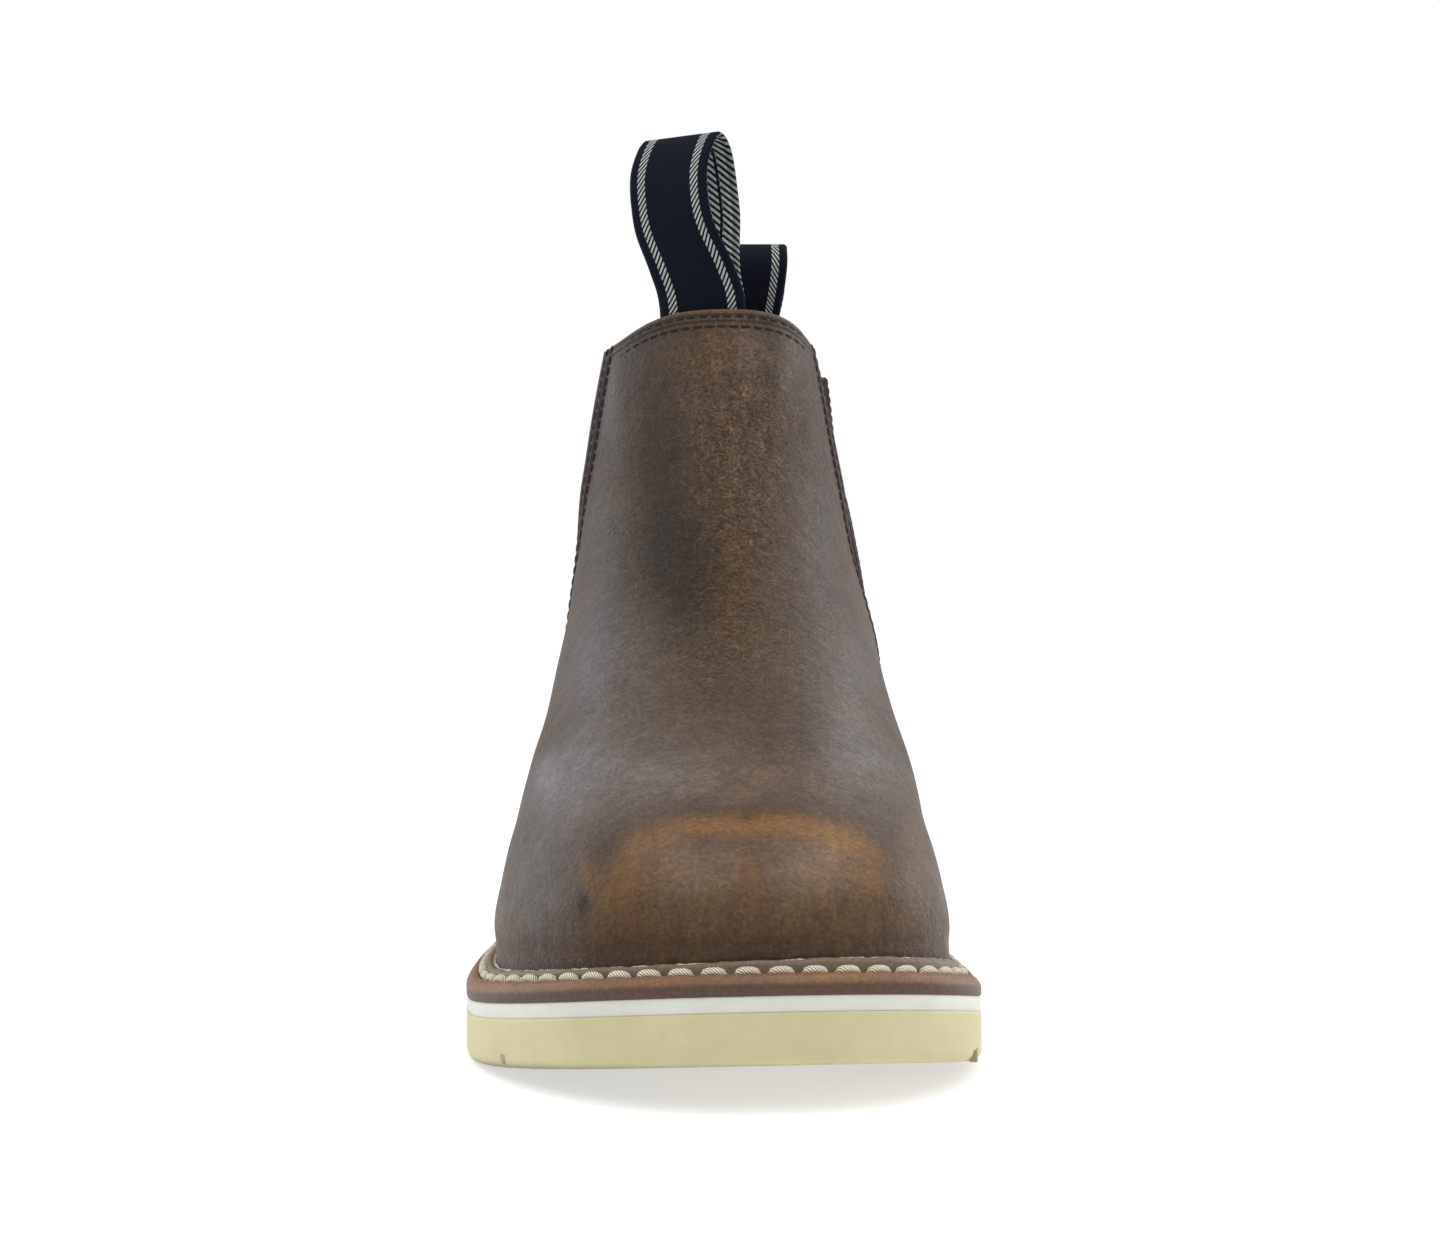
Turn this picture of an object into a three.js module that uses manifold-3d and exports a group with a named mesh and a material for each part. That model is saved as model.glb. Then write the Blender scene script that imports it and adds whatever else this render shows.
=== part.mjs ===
// Work boot: a right pull-on leather boot with elastic side gores on a cream wedge sole.
// Millimetres, +Z up. The toe points to -Y, the heel to +Y, the medial side to +X, the ground is z = 0.
// Lengths along the foot, named "back", are counted from the toe tip of the sole towards the heel.

import * as THREE from 'three';
import { mergeVertices } from 'three/addons/utils/BufferGeometryUtils.js';
import Module from 'manifold-3d';

// Sole sizes
const SOLE_LENGTH = 302;
const BALL_WIDTH = 110;
const TOE_ROUND = 66;
const TOE_BLUNT = 2.45;
const HEEL_ROUND = 50;
const HEEL_BLUNT = 2.25;
const SWING = 8;
const TOE_SPRING = 8.6;
const SPRING_LENGTH = 48;
const SPRING_POWER = 1.25;
const HEEL_BEVEL = 2.5;
const HEEL_BEVEL_LENGTH = 16;
const HEEL_BEVEL_POWER = 1.5;
const TREAD_THICKNESS = 10;
const WEDGE_RISE = 17.5;
const WEDGE_START = 100;
const WEDGE_END = 228;
const SOLE_EDGE_ROUND = 2.4;
const SOLE_TOP_ROUND = 0.5;
const MIDSOLE_THICKNESS = 2.5;
const MIDSOLE_INSET = 0.4;
const CLEARANCE = 0.3;

// Tread sizes
const TREAD_PITCH = 9;
const TREAD_GROOVE = 2.6;
const TREAD_DEPTH = 2.2;
const FOREFOOT_TREAD_START = 18;
const FOREFOOT_TREAD_END = 140;
const HEEL_TREAD_START = 206;
const HEEL_TREAD_END = 286;

// Welt sizes
const WELT_THICKNESS = 4.3;
const WELT_REACH_TOE = 6.5;
const WELT_REACH_HEEL = 4.6;
const WELT_BEVEL = 1.8;
const WELT_RIB_WIDTH = 1.9;
const WELT_RIB_HEIGHT = 2.2;
const WELT_GROOVE_WIDTH = 1.6;
const WELT_GROOVE_DEPTH = 0.8;
const WELT_SLANT = 0.2;

// Upper sizes
const BOOT_HEIGHT = 183;
const FOOT_HEIGHT = 82;
const UPPER_HALF_WIDTH = 49.6;
const QUARTER_WALL = 1.6;
const VAMP_STEP = 0.8;
const COLLAR_DIP = 17;
const COLLAR_POWER = 2.2;
const GORE_WALL = 1.6;
const GORE_MARGIN = 7;
const GORE_BOTTOM_LATERAL = 78;
const GORE_BOTTOM_MEDIAL = 82;
const GORE_WIDTH_TOP = 42;
const GORE_WIDTH_BOTTOM = 24;
const GORE_BOTTOM_TO_HEEL = 102;
const GORE_TOP_TO_HEEL = 64;
const SEAM_SOLE_TO_HEEL = 96;
const INSOLE_THICKNESS = 5;

// Pull loop sizes
const WEBBING_WIDTH = 25;
const WEBBING_THICKNESS = 1.4;
const LOOP_TUCK = 15;
const LOOP_GAP = 17;
const LOOP_FOOT_DEPTH = 0.16;
const FRONT_LOOP_RISE = 53;
const FRONT_LOOP_SHIFT = -6;
const FRONT_LOOP_LEAN = -10;
const FRONT_LOOP_YAW = 0.45;
const BACK_LOOP_RISE = 30;
const BACK_LOOP_SHIFT = 0;
const BACK_LOOP_LEAN = 3;
const BACK_LOOP_YAW = 0.3;

// Mesh fineness
const SOLE_STATIONS = 44;
const RING_STEPS = 60;
const RING_LEVELS = 21;
const LOOP_STEPS = 24;
const LOOP_ACROSS = 4;
const GORE_ARC_STEPS = 8;
const SOLE_END_TURN = 0.06;
const TURN_STEP = 0.02;
const SEARCH_ROUNDS = 8;

const HALF_WIDTH = BALL_WIDTH / 2;
const VAMP_WALL = QUARTER_WALL + VAMP_STEP;
const TOE_Y = -SOLE_LENGTH / 2;
const GORE_BOTTOM_BACK = SOLE_LENGTH - GORE_BOTTOM_TO_HEEL;
const GORE_TOP_BACK = SOLE_LENGTH - GORE_TOP_TO_HEEL;
const SEAM_SOLE_BACK = SOLE_LENGTH - SEAM_SOLE_TO_HEEL;

// A table with named columns: each row becomes an object.
function table(columns, rows) {
  return rows.map((row) => Object.fromEntries(columns.map((column, index) => [column, row[index]])));
}

// Plan of the sole: a share of its length, its half width as a share of half the ball width,
// and the place of its middle line as a share of the swing.
const SOLE_PLAN = [
  { along: 0.0, width: 0.96, middle: 1.0 },
  { along: 0.17, width: 1.0, middle: -0.02 },
  { along: 0.34, width: 0.955, middle: -0.28 },
  { along: 0.52, width: 0.8, middle: -0.3 },
  { along: 0.66, width: 0.745, middle: -0.05 },
  { along: 0.84, width: 0.75, middle: 0.5 },
  { along: 1.0, width: 0.72, middle: 0.9 },
];

// Rings of the upper, from the midsole up. Height is a share of the way from the midsole to the collar,
// front and back are the ring's ends and round the length of its rounded front as shares of the sole
// length, blunt is the power of that rounding, ball, waist and heel are half widths as shares of the
// upper's half width, lean moves the ring sideways as a share of the swing, and tuck is 1 where the
// ring follows the feather line of the welt.
const UPPER_RINGS = table(
  ['height', 'front', 'back', 'round', 'blunt', 'ball', 'waist', 'heel', 'lean', 'tuck'],
  [
    [0.0, 0.022, 0.985, 0.22, 2.45, 0.97, 0.76, 0.72, 0.0, 1.0],
    [0.047, 0.022, 0.985, 0.22, 2.45, 0.97, 0.77, 0.72, 0.0, 1.0],
    [0.076, 0.018, 0.988, 0.22, 2.45, 0.985, 0.8, 0.735, 0.05, 0.35],
    [0.12, 0.022, 0.99, 0.222, 2.42, 0.965, 0.82, 0.74, 0.12, 0.0],
    [0.157, 0.038, 0.99, 0.228, 2.36, 0.95, 0.835, 0.74, 0.18, 0.0],
    [0.188, 0.062, 0.99, 0.238, 2.28, 0.935, 0.845, 0.735, 0.23, 0.0],
    [0.219, 0.096, 0.988, 0.25, 2.2, 0.935, 0.86, 0.73, 0.3, 0.0],
    [0.256, 0.147, 0.985, 0.262, 2.15, 0.93, 0.88, 0.72, 0.35, 0.0],
    [0.306, 0.217, 0.982, 0.275, 2.1, 0.905, 0.885, 0.705, 0.35, 0.0],
    [0.374, 0.31, 0.977, 0.275, 2.08, 0.888, 0.878, 0.685, 0.25, 0.0],
    [0.461, 0.408, 0.971, 0.24, 2.08, 0.86, 0.85, 0.66, 0.17, 0.0],
    [0.572, 0.501, 0.965, 0.195, 2.08, 0.835, 0.83, 0.635, 0.07, 0.0],
    [0.696, 0.565, 0.963, 0.16, 2.1, 0.81, 0.81, 0.625, -0.03, 0.0],
    [0.833, 0.602, 0.967, 0.145, 2.15, 0.75, 0.76, 0.615, -0.08, 0.0],
    [0.969, 0.626, 0.977, 0.135, 2.2, 0.66, 0.7, 0.6, -0.08, 0.0],
  ],
);

// Collar line: how far it lies under or over its front, as shares of the dip, along the ring from front
// to back, and the place of the shaft's middle line there as a share of the swing.
const COLLAR_LINE = [
  { along: 0.0, dip: 0.0, middle: 0.25 },
  { along: 0.14, dip: -0.4, middle: -0.05 },
  { along: 0.32, dip: -0.92, middle: -0.52 },
  { along: 0.5, dip: -1.0, middle: -0.5 },
  { along: 0.68, dip: -0.6, middle: -0.05 },
  { along: 0.86, dip: 0.1, middle: 0.55 },
  { along: 1.0, dip: 0.35, middle: 0.95 },
];

// A pull loop from its front foot over the fold to its back foot: height as a share of its rise,
// depth as a share of its gap, and the share of its lean.
const LOOP_PATH = [
  { rise: 0.06, depth: 0.0, lean: 0.02 },
  { rise: 0.25, depth: -0.02, lean: 0.3 },
  { rise: 0.5, depth: 0.02, lean: 0.85 },
  { rise: 0.75, depth: 0.1, lean: 1.05 },
  { rise: 0.92, depth: 0.28, lean: 1.0 },
  { rise: 1.0, depth: 0.55, lean: 0.95 },
  { rise: 0.93, depth: 0.85, lean: 0.9 },
  { rise: 0.75, depth: 1.0, lean: 0.85 },
  { rise: 0.5, depth: 0.82, lean: 0.6 },
  { rise: 0.25, depth: 0.4, lean: 0.25 },
  { rise: 0.06, depth: LOOP_FOOT_DEPTH, lean: 0.02 },
];

const TOP_RING = UPPER_RINGS.length - 1;
const VAMP_LOWEST_RING = 0.1;
const VAMP_HIGHEST_RING = TOP_RING - 0.04;
const GORE_LOWEST_RING = 6;

const LEATHER = { color: 0x5c4a3e, roughness: 0.55, metalness: 0 };
const WELT_LEATHER = { color: 0x785f4e, roughness: 0.6, metalness: 0 };
const OFF_WHITE = { color: 0xdee1d2, roughness: 0.7, metalness: 0 };
const CREAM = { color: 0xc8be91, roughness: 0.75, metalness: 0 };
const ELASTIC = { color: 0x241c1a, roughness: 0.9, metalness: 0 };
const FOOTBED = { color: 0x8c7a64, roughness: 0.9, metalness: 0 };
const WEBBING = { color: 0x121826, roughness: 0.8, metalness: 0 };

const wasm = await Module();
wasm.setup();

const clamp01 = (value) => Math.min(1, Math.max(0, value));
const mix = (a, b, share) => a + (b - a) * share;
const smooth = (share) => clamp01(share) ** 2 * (3 - 2 * clamp01(share));

// Cubic through four neighbouring rows of a table, at a row number that may lie between rows.
function betweenRows(rows, place, column) {
  const last = rows.length - 1;
  const low = Math.min(last - 1, Math.max(0, Math.floor(place)));
  const t = place - low;
  const value = (index) => rows[Math.min(last, Math.max(0, index))][column];
  const [a, b, c, d] = [value(low - 1), value(low), value(low + 1), value(low + 2)];
  return b + 0.5 * t * (c - a + t * (2 * a - 5 * b + 4 * c - d + t * (3 * (b - c) + d - a)));
}

// The same, where each row's place is its column "along".
function alongRows(rows, along, column) {
  let low = 0;
  while (low < rows.length - 2 && along > rows[low + 1].along) low += 1;
  const share = clamp01((along - rows[low].along) / (rows[low + 1].along - rows[low].along));
  return betweenRows(rows, low + share, column);
}

// A round end: 0 at the end, 1 from the given length on, a superellipse between.
function roundEnd(distance, length, blunt) {
  const left = 1 - clamp01(distance / length);
  return Math.max(0, 1 - left ** blunt) ** (1 / blunt);
}

// Heights of the ground face, of the welt's top and of the layers between, at a length from the toe.
function toeSpring(back) {
  return TOE_SPRING * Math.max(0, 1 - back / SPRING_LENGTH) ** SPRING_POWER;
}
function groundFace(back) {
  const bevel = Math.max(0, 1 - (SOLE_LENGTH - back) / HEEL_BEVEL_LENGTH) ** HEEL_BEVEL_POWER;
  return toeSpring(back) + HEEL_BEVEL * bevel;
}
function treadTop(back) {
  const wedge = smooth((back - WEDGE_START) / (WEDGE_END - WEDGE_START));
  return toeSpring(back) + TREAD_THICKNESS + WEDGE_RISE * wedge;
}
const midsoleTop = (back) => treadTop(back) + CLEARANCE + MIDSOLE_THICKNESS;
const weltTop = (back) => midsoleTop(back) + CLEARANCE + WELT_THICKNESS;

// Half width and middle line of the sole's plan.
function solePlan(back) {
  const along = back / SOLE_LENGTH;
  const toe = roundEnd(back, TOE_ROUND, TOE_BLUNT);
  const heel = roundEnd(SOLE_LENGTH - back, HEEL_ROUND, HEEL_BLUNT);
  const half = HALF_WIDTH * alongRows(SOLE_PLAN, along, 'width') * toe * heel;
  return { half, middle: SWING * alongRows(SOLE_PLAN, along, 'middle') };
}

// A turn of 0 is the toe, PI the heel, and the lateral side comes first.
function turnPlace(turn) {
  const folded = turn <= Math.PI ? turn : 2 * Math.PI - turn;
  return { share: (1 - Math.cos(folded)) / 2, side: turn <= Math.PI ? -1 : 1 };
}

// A point of the sole's outline moved inwards by an inset, as [x, back].
function outlinePoint(turn, inset) {
  const at = (angle) => {
    const { share, side } = turnPlace((angle + 2 * Math.PI) % (2 * Math.PI));
    const { half, middle } = solePlan(share * SOLE_LENGTH);
    return [middle + side * half, share * SOLE_LENGTH];
  };
  const here = at(turn);
  const before = at(turn - TURN_STEP);
  const after = at(turn + TURN_STEP);
  const along = [after[0] - before[0], after[1] - before[1]];
  const length = Math.hypot(along[0], along[1]);
  return [here[0] + (inset * along[1]) / length, here[1] - (inset * along[0]) / length];
}

// How far the welt stands out past the upper.
function weltReach(turn) {
  return mix(WELT_REACH_TOE, WELT_REACH_HEEL, smooth(turnPlace(turn).share * 1.4 - 0.2));
}

const turnsOf = (count) => Array.from({ length: count }, (_, index) => (2 * Math.PI * index) / count);

// A geometry from rows of vertices: rows join to the next row, and each row closes on itself.
// Where the rows don't close into a ring, the first and last row are capped.
function skin(rows, ring) {
  const size = rows[0].length;
  const triangles = [];
  const rowCount = ring ? rows.length : rows.length - 1;
  for (let row = 0; row < rowCount; row += 1) {
    const next = ((row + 1) % rows.length) * size;
    for (let index = 0; index < size; index += 1) {
      const a = row * size + index;
      const b = row * size + ((index + 1) % size);
      const c = next + ((index + 1) % size);
      const d = next + index;
      triangles.push(a, b, c, a, c, d);
    }
  }
  if (!ring) {
    const lastRow = (rows.length - 1) * size;
    for (let index = 1; index < size - 1; index += 1) {
      triangles.push(0, index + 1, index);
      triangles.push(lastRow, lastRow + index, lastRow + index + 1);
    }
  }
  const geometry = new THREE.BufferGeometry();
  geometry.setAttribute('position', new THREE.Float32BufferAttribute(rows.flat(2), 3));
  geometry.setIndex(triangles);
  return facingOut(geometry);
}

// Turns every face round where the signed volume is negative.
function facingOut(geometry) {
  const position = geometry.attributes.position;
  const index = geometry.index.array;
  const [a, b, c] = [new THREE.Vector3(), new THREE.Vector3(), new THREE.Vector3()];
  let volume = 0;
  for (let corner = 0; corner < index.length; corner += 3) {
    a.fromBufferAttribute(position, index[corner]);
    b.fromBufferAttribute(position, index[corner + 1]);
    c.fromBufferAttribute(position, index[corner + 2]);
    volume += a.dot(b.cross(c));
  }
  if (volume < 0) {
    for (let corner = 0; corner < index.length; corner += 3) {
      [index[corner + 1], index[corner + 2]] = [index[corner + 2], index[corner + 1]];
    }
  }
  return geometry;
}

function toSolid(geometry) {
  const bare = geometry.clone();
  bare.deleteAttribute('normal');
  bare.deleteAttribute('uv');
  const merged = mergeVertices(bare, 1e-4);
  const vertProperties = new Float32Array(merged.attributes.position.array);
  const triVerts = new Uint32Array(merged.index.array);
  return new wasm.Manifold(new wasm.Mesh({ numProp: 3, vertProperties, triVerts }));
}

function toGeometry(solid) {
  const mesh = solid.getMesh();
  const geometry = new THREE.BufferGeometry();
  geometry.setAttribute('position', new THREE.BufferAttribute(mesh.vertProperties, 3));
  geometry.setIndex(new THREE.BufferAttribute(mesh.triVerts, 1));
  return geometry;
}

// A side-view outline of [back, height] points, pushed through the boot from one x to another.
function sideCutter(points, fromX, toX) {
  const shape = new THREE.Shape(points.map(([back, height]) => new THREE.Vector2(back, height)));
  const geometry = new THREE.ExtrudeGeometry(shape, { depth: toX - fromX, bevelEnabled: false, steps: 1 });
  const toBoot = new THREE.Matrix4().set(0, 0, 1, fromX, 1, 0, 0, TOE_Y, 0, 1, 0, 0, 0, 0, 0, 1);
  return toSolid(geometry.applyMatrix4(toBoot));
}

// A layer of the sole between two height functions, its edge moved in by an inset.
// Edge rows give a further inset and the share of the layer's height, from the bottom up.
function soleLayer(bottom, top, insetOf, edge) {
  const rows = [];
  for (let station = 0; station <= SOLE_STATIONS; station += 1) {
    const turn = mix(SOLE_END_TURN, Math.PI - SOLE_END_TURN, station / SOLE_STATIONS);
    const lateral = edge.map(({ inset, height }) => {
      const [x, back] = outlinePoint(turn, insetOf(turn) + inset);
      return [x, TOE_Y + back, mix(bottom(back), top(back), height)];
    });
    const medial = edge.map(({ inset, height }) => {
      const [x, back] = outlinePoint(2 * Math.PI - turn, insetOf(turn) + inset);
      return [x, TOE_Y + back, mix(bottom(back), top(back), height)];
    });
    rows.push([...lateral, ...medial.reverse()]);
  }
  return skin(rows, false);
}

function outsole() {
  const edge = [
    { inset: SOLE_EDGE_ROUND, height: 0 },
    { inset: SOLE_EDGE_ROUND * 0.3, height: 0.1 },
    { inset: 0, height: 0.28 },
    { inset: 0, height: 0.94 },
    { inset: SOLE_TOP_ROUND, height: 1 },
  ];
  let solid = toSolid(soleLayer(groundFace, treadTop, () => 0, edge));
  const grooves = [];
  for (let back = FOREFOOT_TREAD_START; back < FOREFOOT_TREAD_END; back += TREAD_PITCH) grooves.push(back);
  for (let back = HEEL_TREAD_START; back < HEEL_TREAD_END; back += TREAD_PITCH) grooves.push(back);
  for (const back of grooves) {
    const high = groundFace(back) + TREAD_DEPTH;
    const low = -TREAD_DEPTH;
    const corners = [
      [back - TREAD_GROOVE / 2, low],
      [back + TREAD_GROOVE / 2, low],
      [back + TREAD_GROOVE / 2, high],
      [back - TREAD_GROOVE / 2, high],
    ];
    solid = solid.subtract(sideCutter(corners, -BALL_WIDTH, BALL_WIDTH));
  }
  return toGeometry(solid);
}

function midsole() {
  const edge = [
    { inset: MIDSOLE_INSET, height: 0 },
    { inset: MIDSOLE_INSET, height: 1 },
  ];
  return soleLayer((back) => treadTop(back) + CLEARANCE, midsoleTop, () => 0, edge);
}

function insole() {
  const bottom = (back) => midsoleTop(back) + CLEARANCE;
  const top = (back) => bottom(back) + INSOLE_THICKNESS;
  const edge = [
    { inset: 0, height: 0 },
    { inset: 0, height: 1 },
  ];
  return soleLayer(bottom, top, (turn) => weltReach(turn) + VAMP_WALL + 2 * CLEARANCE, edge);
}

// The welt is one profile carried round the outline: bevelled edge, stitch groove and raised inner rib.
function welt() {
  const rows = turnsOf(RING_STEPS).map((turn) => {
    const inner = weltReach(turn) - CLEARANCE;
    const rib = inner - WELT_RIB_WIDTH;
    const groove = rib - WELT_GROOVE_WIDTH;
    const profile = [
      [WELT_SLANT, -WELT_THICKNESS],
      [0, -WELT_THICKNESS / 2],
      [WELT_BEVEL / 3, -WELT_BEVEL / 2.4],
      [WELT_BEVEL, 0],
      [groove, 0],
      [groove + WELT_SLANT, -WELT_GROOVE_DEPTH],
      [rib, -WELT_GROOVE_DEPTH],
      [rib + WELT_SLANT, WELT_RIB_HEIGHT * 0.75],
      [rib + WELT_RIB_WIDTH * 0.4, WELT_RIB_HEIGHT],
      [inner, WELT_RIB_HEIGHT * 0.9],
      [inner, -WELT_THICKNESS],
    ];
    return profile.map(([inset, height]) => {
      const [x, back] = outlinePoint(turn, inset);
      return [x, TOE_Y + back, weltTop(back) + height];
    });
  });
  return skin(rows, true);
}

// A point of the upper's outer face as [x, y, z]. Level counts rows of the ring table.
function upperPoint(level, turn) {
  const value = (column) => betweenRows(UPPER_RINGS, level, column);
  const { share, side } = turnPlace(turn);
  const front = value('front') * SOLE_LENGTH;
  const back = value('back') * SOLE_LENGTH;
  const place = mix(front, back, share);
  const foot = midsoleTop(0) + CLEARANCE;
  const ringTop = mix(foot, BOOT_HEIGHT, UPPER_RINGS[TOP_RING].height);
  const nominal = mix(foot, BOOT_HEIGHT, value('height'));
  const widths = [
    { along: 0, half: value('ball') },
    { along: 0.3, half: value('ball') },
    { along: 0.6, half: value('waist') },
    { along: 0.85, half: value('heel') },
    { along: 1, half: value('heel') },
  ];
  const toe = roundEnd(place - front, value('round') * SOLE_LENGTH, value('blunt'));
  const heel = roundEnd(back - place, HEEL_ROUND, HEEL_BLUNT);
  const half = UPPER_HALF_WIDTH * alongRows(widths, share, 'half') * toe * heel;
  const shaft = smooth((nominal - FOOT_HEIGHT) / (BOOT_HEIGHT - FOOT_HEIGHT));
  const sweep = mix(solePlan(place).middle, SWING * alongRows(COLLAR_LINE, share, 'middle'), shaft);
  const middle = sweep + SWING * value('lean') * Math.sin(Math.PI * share) ** 0.5;
  const [featherX, featherBack] = outlinePoint(turn, weltReach(turn));
  const tuck = clamp01(value('tuck'));
  const x = mix(middle + side * half, featherX, tuck);
  const y = mix(place, featherBack, tuck);
  const settle = clamp01((FOOT_HEIGHT - nominal) / (FOOT_HEIGHT - foot));
  const collar = Math.max(0, (nominal - FOOT_HEIGHT) / (BOOT_HEIGHT - FOOT_HEIGHT)) ** COLLAR_POWER;
  const line = COLLAR_DIP * alongRows(COLLAR_LINE, share, 'dip') + (BOOT_HEIGHT - ringTop);
  return [x, TOE_Y + y, nominal + settle * (weltTop(y) - weltTop(0)) + collar * line];
}

// The same point moved inwards, square to the face.
function upperPointInside(level, turn, depth) {
  const step = 0.01;
  const at = (l, t) => new THREE.Vector3(...upperPoint(l, (t + 2 * Math.PI) % (2 * Math.PI)));
  const up = at(Math.min(TOP_RING, level + step), turn).sub(at(Math.max(0, level - step), turn));
  const round = at(level, turn + step).sub(at(level, turn - step));
  const inward = round.cross(up).normalize();
  return at(level, turn).addScaledVector(inward, depth).toArray();
}

// A wall between two depths under the upper's outer face, from one level to another.
function upperWall(outer, inner, lowest, highest) {
  const count = Math.round((RING_LEVELS * (highest - lowest)) / TOP_RING);
  const levels = Array.from({ length: count + 1 }, (_, index) => mix(lowest, highest, index / count));
  const rows = turnsOf(RING_STEPS).map((turn) => [
    ...levels.map((level) => upperPointInside(level, turn, outer)),
    ...levels.map((level) => upperPointInside(level, turn, inner)).reverse(),
  ]);
  return toSolid(skin(rows, true));
}

// Side view of a gore: a U that is open at the collar, wider and further back at the top.
function goreOutline(bottom, margin) {
  const top = BOOT_HEIGHT + COLLAR_DIP;
  const slope = (GORE_TOP_BACK - GORE_BOTTOM_BACK) / (BOOT_HEIGHT - bottom);
  const radius = GORE_WIDTH_BOTTOM / 2 + margin;
  const points = [];
  for (let step = 0; step <= GORE_ARC_STEPS; step += 1) {
    const angle = Math.PI + (Math.PI * step) / GORE_ARC_STEPS;
    const back = GORE_BOTTOM_BACK + radius * Math.cos(angle);
    points.push([back, bottom + radius - margin + radius * Math.sin(angle)]);
  }
  const rise = top - bottom;
  const middle = GORE_BOTTOM_BACK + slope * rise;
  const half = GORE_WIDTH_TOP / 2 + margin;
  points.push([middle + half, top], [middle - half, top]);
  return points;
}

function goreCutter(side, margin) {
  const bottom = side < 0 ? GORE_BOTTOM_LATERAL : GORE_BOTTOM_MEDIAL;
  const [fromX, toX] = side < 0 ? [-BALL_WIDTH, -SWING] : [SWING, BALL_WIDTH];
  return sideCutter(goreOutline(bottom, margin), fromX, toX);
}

// The vamp is the outer step of the wall in front of the gores and of the side seams under them.
function upper() {
  const quarter = upperWall(VAMP_STEP, VAMP_WALL, 0, TOP_RING);
  const vampRegion = sideCutter([
    [-SOLE_LENGTH, -BOOT_HEIGHT],
    [SEAM_SOLE_BACK, -BOOT_HEIGHT],
    [SEAM_SOLE_BACK, weltTop(SEAM_SOLE_BACK)],
    [GORE_BOTTOM_BACK, GORE_BOTTOM_LATERAL],
    [GORE_TOP_BACK, BOOT_HEIGHT],
    [GORE_TOP_BACK, BOOT_HEIGHT * 2],
    [-SOLE_LENGTH, BOOT_HEIGHT * 2],
  ], -BALL_WIDTH, BALL_WIDTH);
  const overlay = upperWall(0, VAMP_STEP + QUARTER_WALL / 2, VAMP_LOWEST_RING, VAMP_HIGHEST_RING);
  const vamp = overlay.intersect(vampRegion);
  const whole = quarter.add(vamp);
  return toGeometry(whole.subtract(goreCutter(-1, 0)).subtract(goreCutter(1, 0)));
}

// A gore lies behind the leather and reaches past its cut-out by the margin.
function gore(side) {
  const outer = VAMP_WALL + CLEARANCE;
  const sheet = upperWall(outer, outer + GORE_WALL, GORE_LOWEST_RING, TOP_RING);
  return toGeometry(sheet.intersect(goreCutter(side, GORE_MARGIN)));
}

// Where webbing can lie against the inside of the collar, on one x line and at one height, as [y, z].
// The turn and the level are found by Newton steps, no higher than the collar's edge.
function insideWall(x, height, heel) {
  const depth = VAMP_WALL + 3 * CLEARANCE + WEBBING_THICKNESS / 2;
  const at = (l, t) => upperPointInside(l, (t + 2 * Math.PI) % (2 * Math.PI), depth);
  let turn = heel ? Math.PI : 0;
  let level = TOP_RING;
  for (let round = 0; round < SEARCH_ROUNDS; round += 1) {
    const here = at(level, turn);
    const acrossRate = (at(level, turn + TURN_STEP)[0] - here[0]) / TURN_STEP;
    const upRate = (here[2] - at(level - 0.1, turn)[2]) / 0.1;
    turn += (x - here[0]) / acrossRate;
    level = Math.min(TOP_RING, level + (height - here[2]) / upRate);
  }
  return at(level, turn).slice(1);
}

// A band of webbing folded into a loop. Both feet stand inside the collar and follow its curve.
function pullLoop({ heel, rise, shift, lean, yaw }) {
  const inwards = heel ? -1 : 1;
  const centreX = upperPoint(TOP_RING, heel ? Math.PI : 0)[0] + shift;
  const collarZ = insideWall(centreX, BOOT_HEIGHT * 2, heel)[1];
  const feet = LOOP_TUCK / rise;
  const frontFoot = { rise: -feet, depth: 0, lean: 0 };
  const backFoot = { rise: -feet, depth: LOOP_FOOT_DEPTH, lean: 0 };
  const path = [frontFoot, ...LOOP_PATH, backFoot];
  const at = (place, column) => betweenRows(path, Math.min(path.length - 1, Math.max(0, place)), column);
  const rows = [];
  for (let step = 0; step <= LOOP_STEPS; step += 1) {
    const place = ((path.length - 1) * step) / LOOP_STEPS;
    const height = at(place, 'rise') * rise;
    const free = clamp01(height / rise);
    const turn = yaw * smooth(free * 1.6);
    const up = (at(place + 0.05, 'rise') - at(place - 0.05, 'rise')) * rise;
    const inward = (at(place + 0.05, 'depth') - at(place - 0.05, 'depth')) * LOOP_GAP;
    const length = Math.hypot(up, inward);
    const middleY = insideWall(centreX, collarZ + Math.min(0, height), heel)[0];
    const face = (offset) => {
      const depth = at(place, 'depth') * LOOP_GAP - (offset * up) / length;
      const z = collarZ + height + (offset * inward) / length;
      return Array.from({ length: LOOP_ACROSS + 1 }, (_, index) => {
        const w = WEBBING_WIDTH * (index / LOOP_ACROSS - 0.5);
        const wallY = insideWall(centreX + w, collarZ + Math.min(0, height), heel)[0];
        const flat = mix(wallY, middleY, smooth(free * 2.5));
        const sideways = w * Math.cos(turn) + inwards * depth * Math.sin(turn);
        const deeper = inwards * depth * Math.cos(turn) - w * Math.sin(turn);
        return [centreX + lean * at(place, 'lean') + sideways, flat + deeper, z];
      });
    };
    rows.push([...face(-WEBBING_THICKNESS / 2), ...face(WEBBING_THICKNESS / 2).reverse()]);
  }
  return skin(rows, false);
}

function node(name, geometry, finish) {
  const mesh = new THREE.Mesh(geometry, new THREE.MeshStandardMaterial(finish));
  mesh.name = name;
  return mesh;
}

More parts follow.
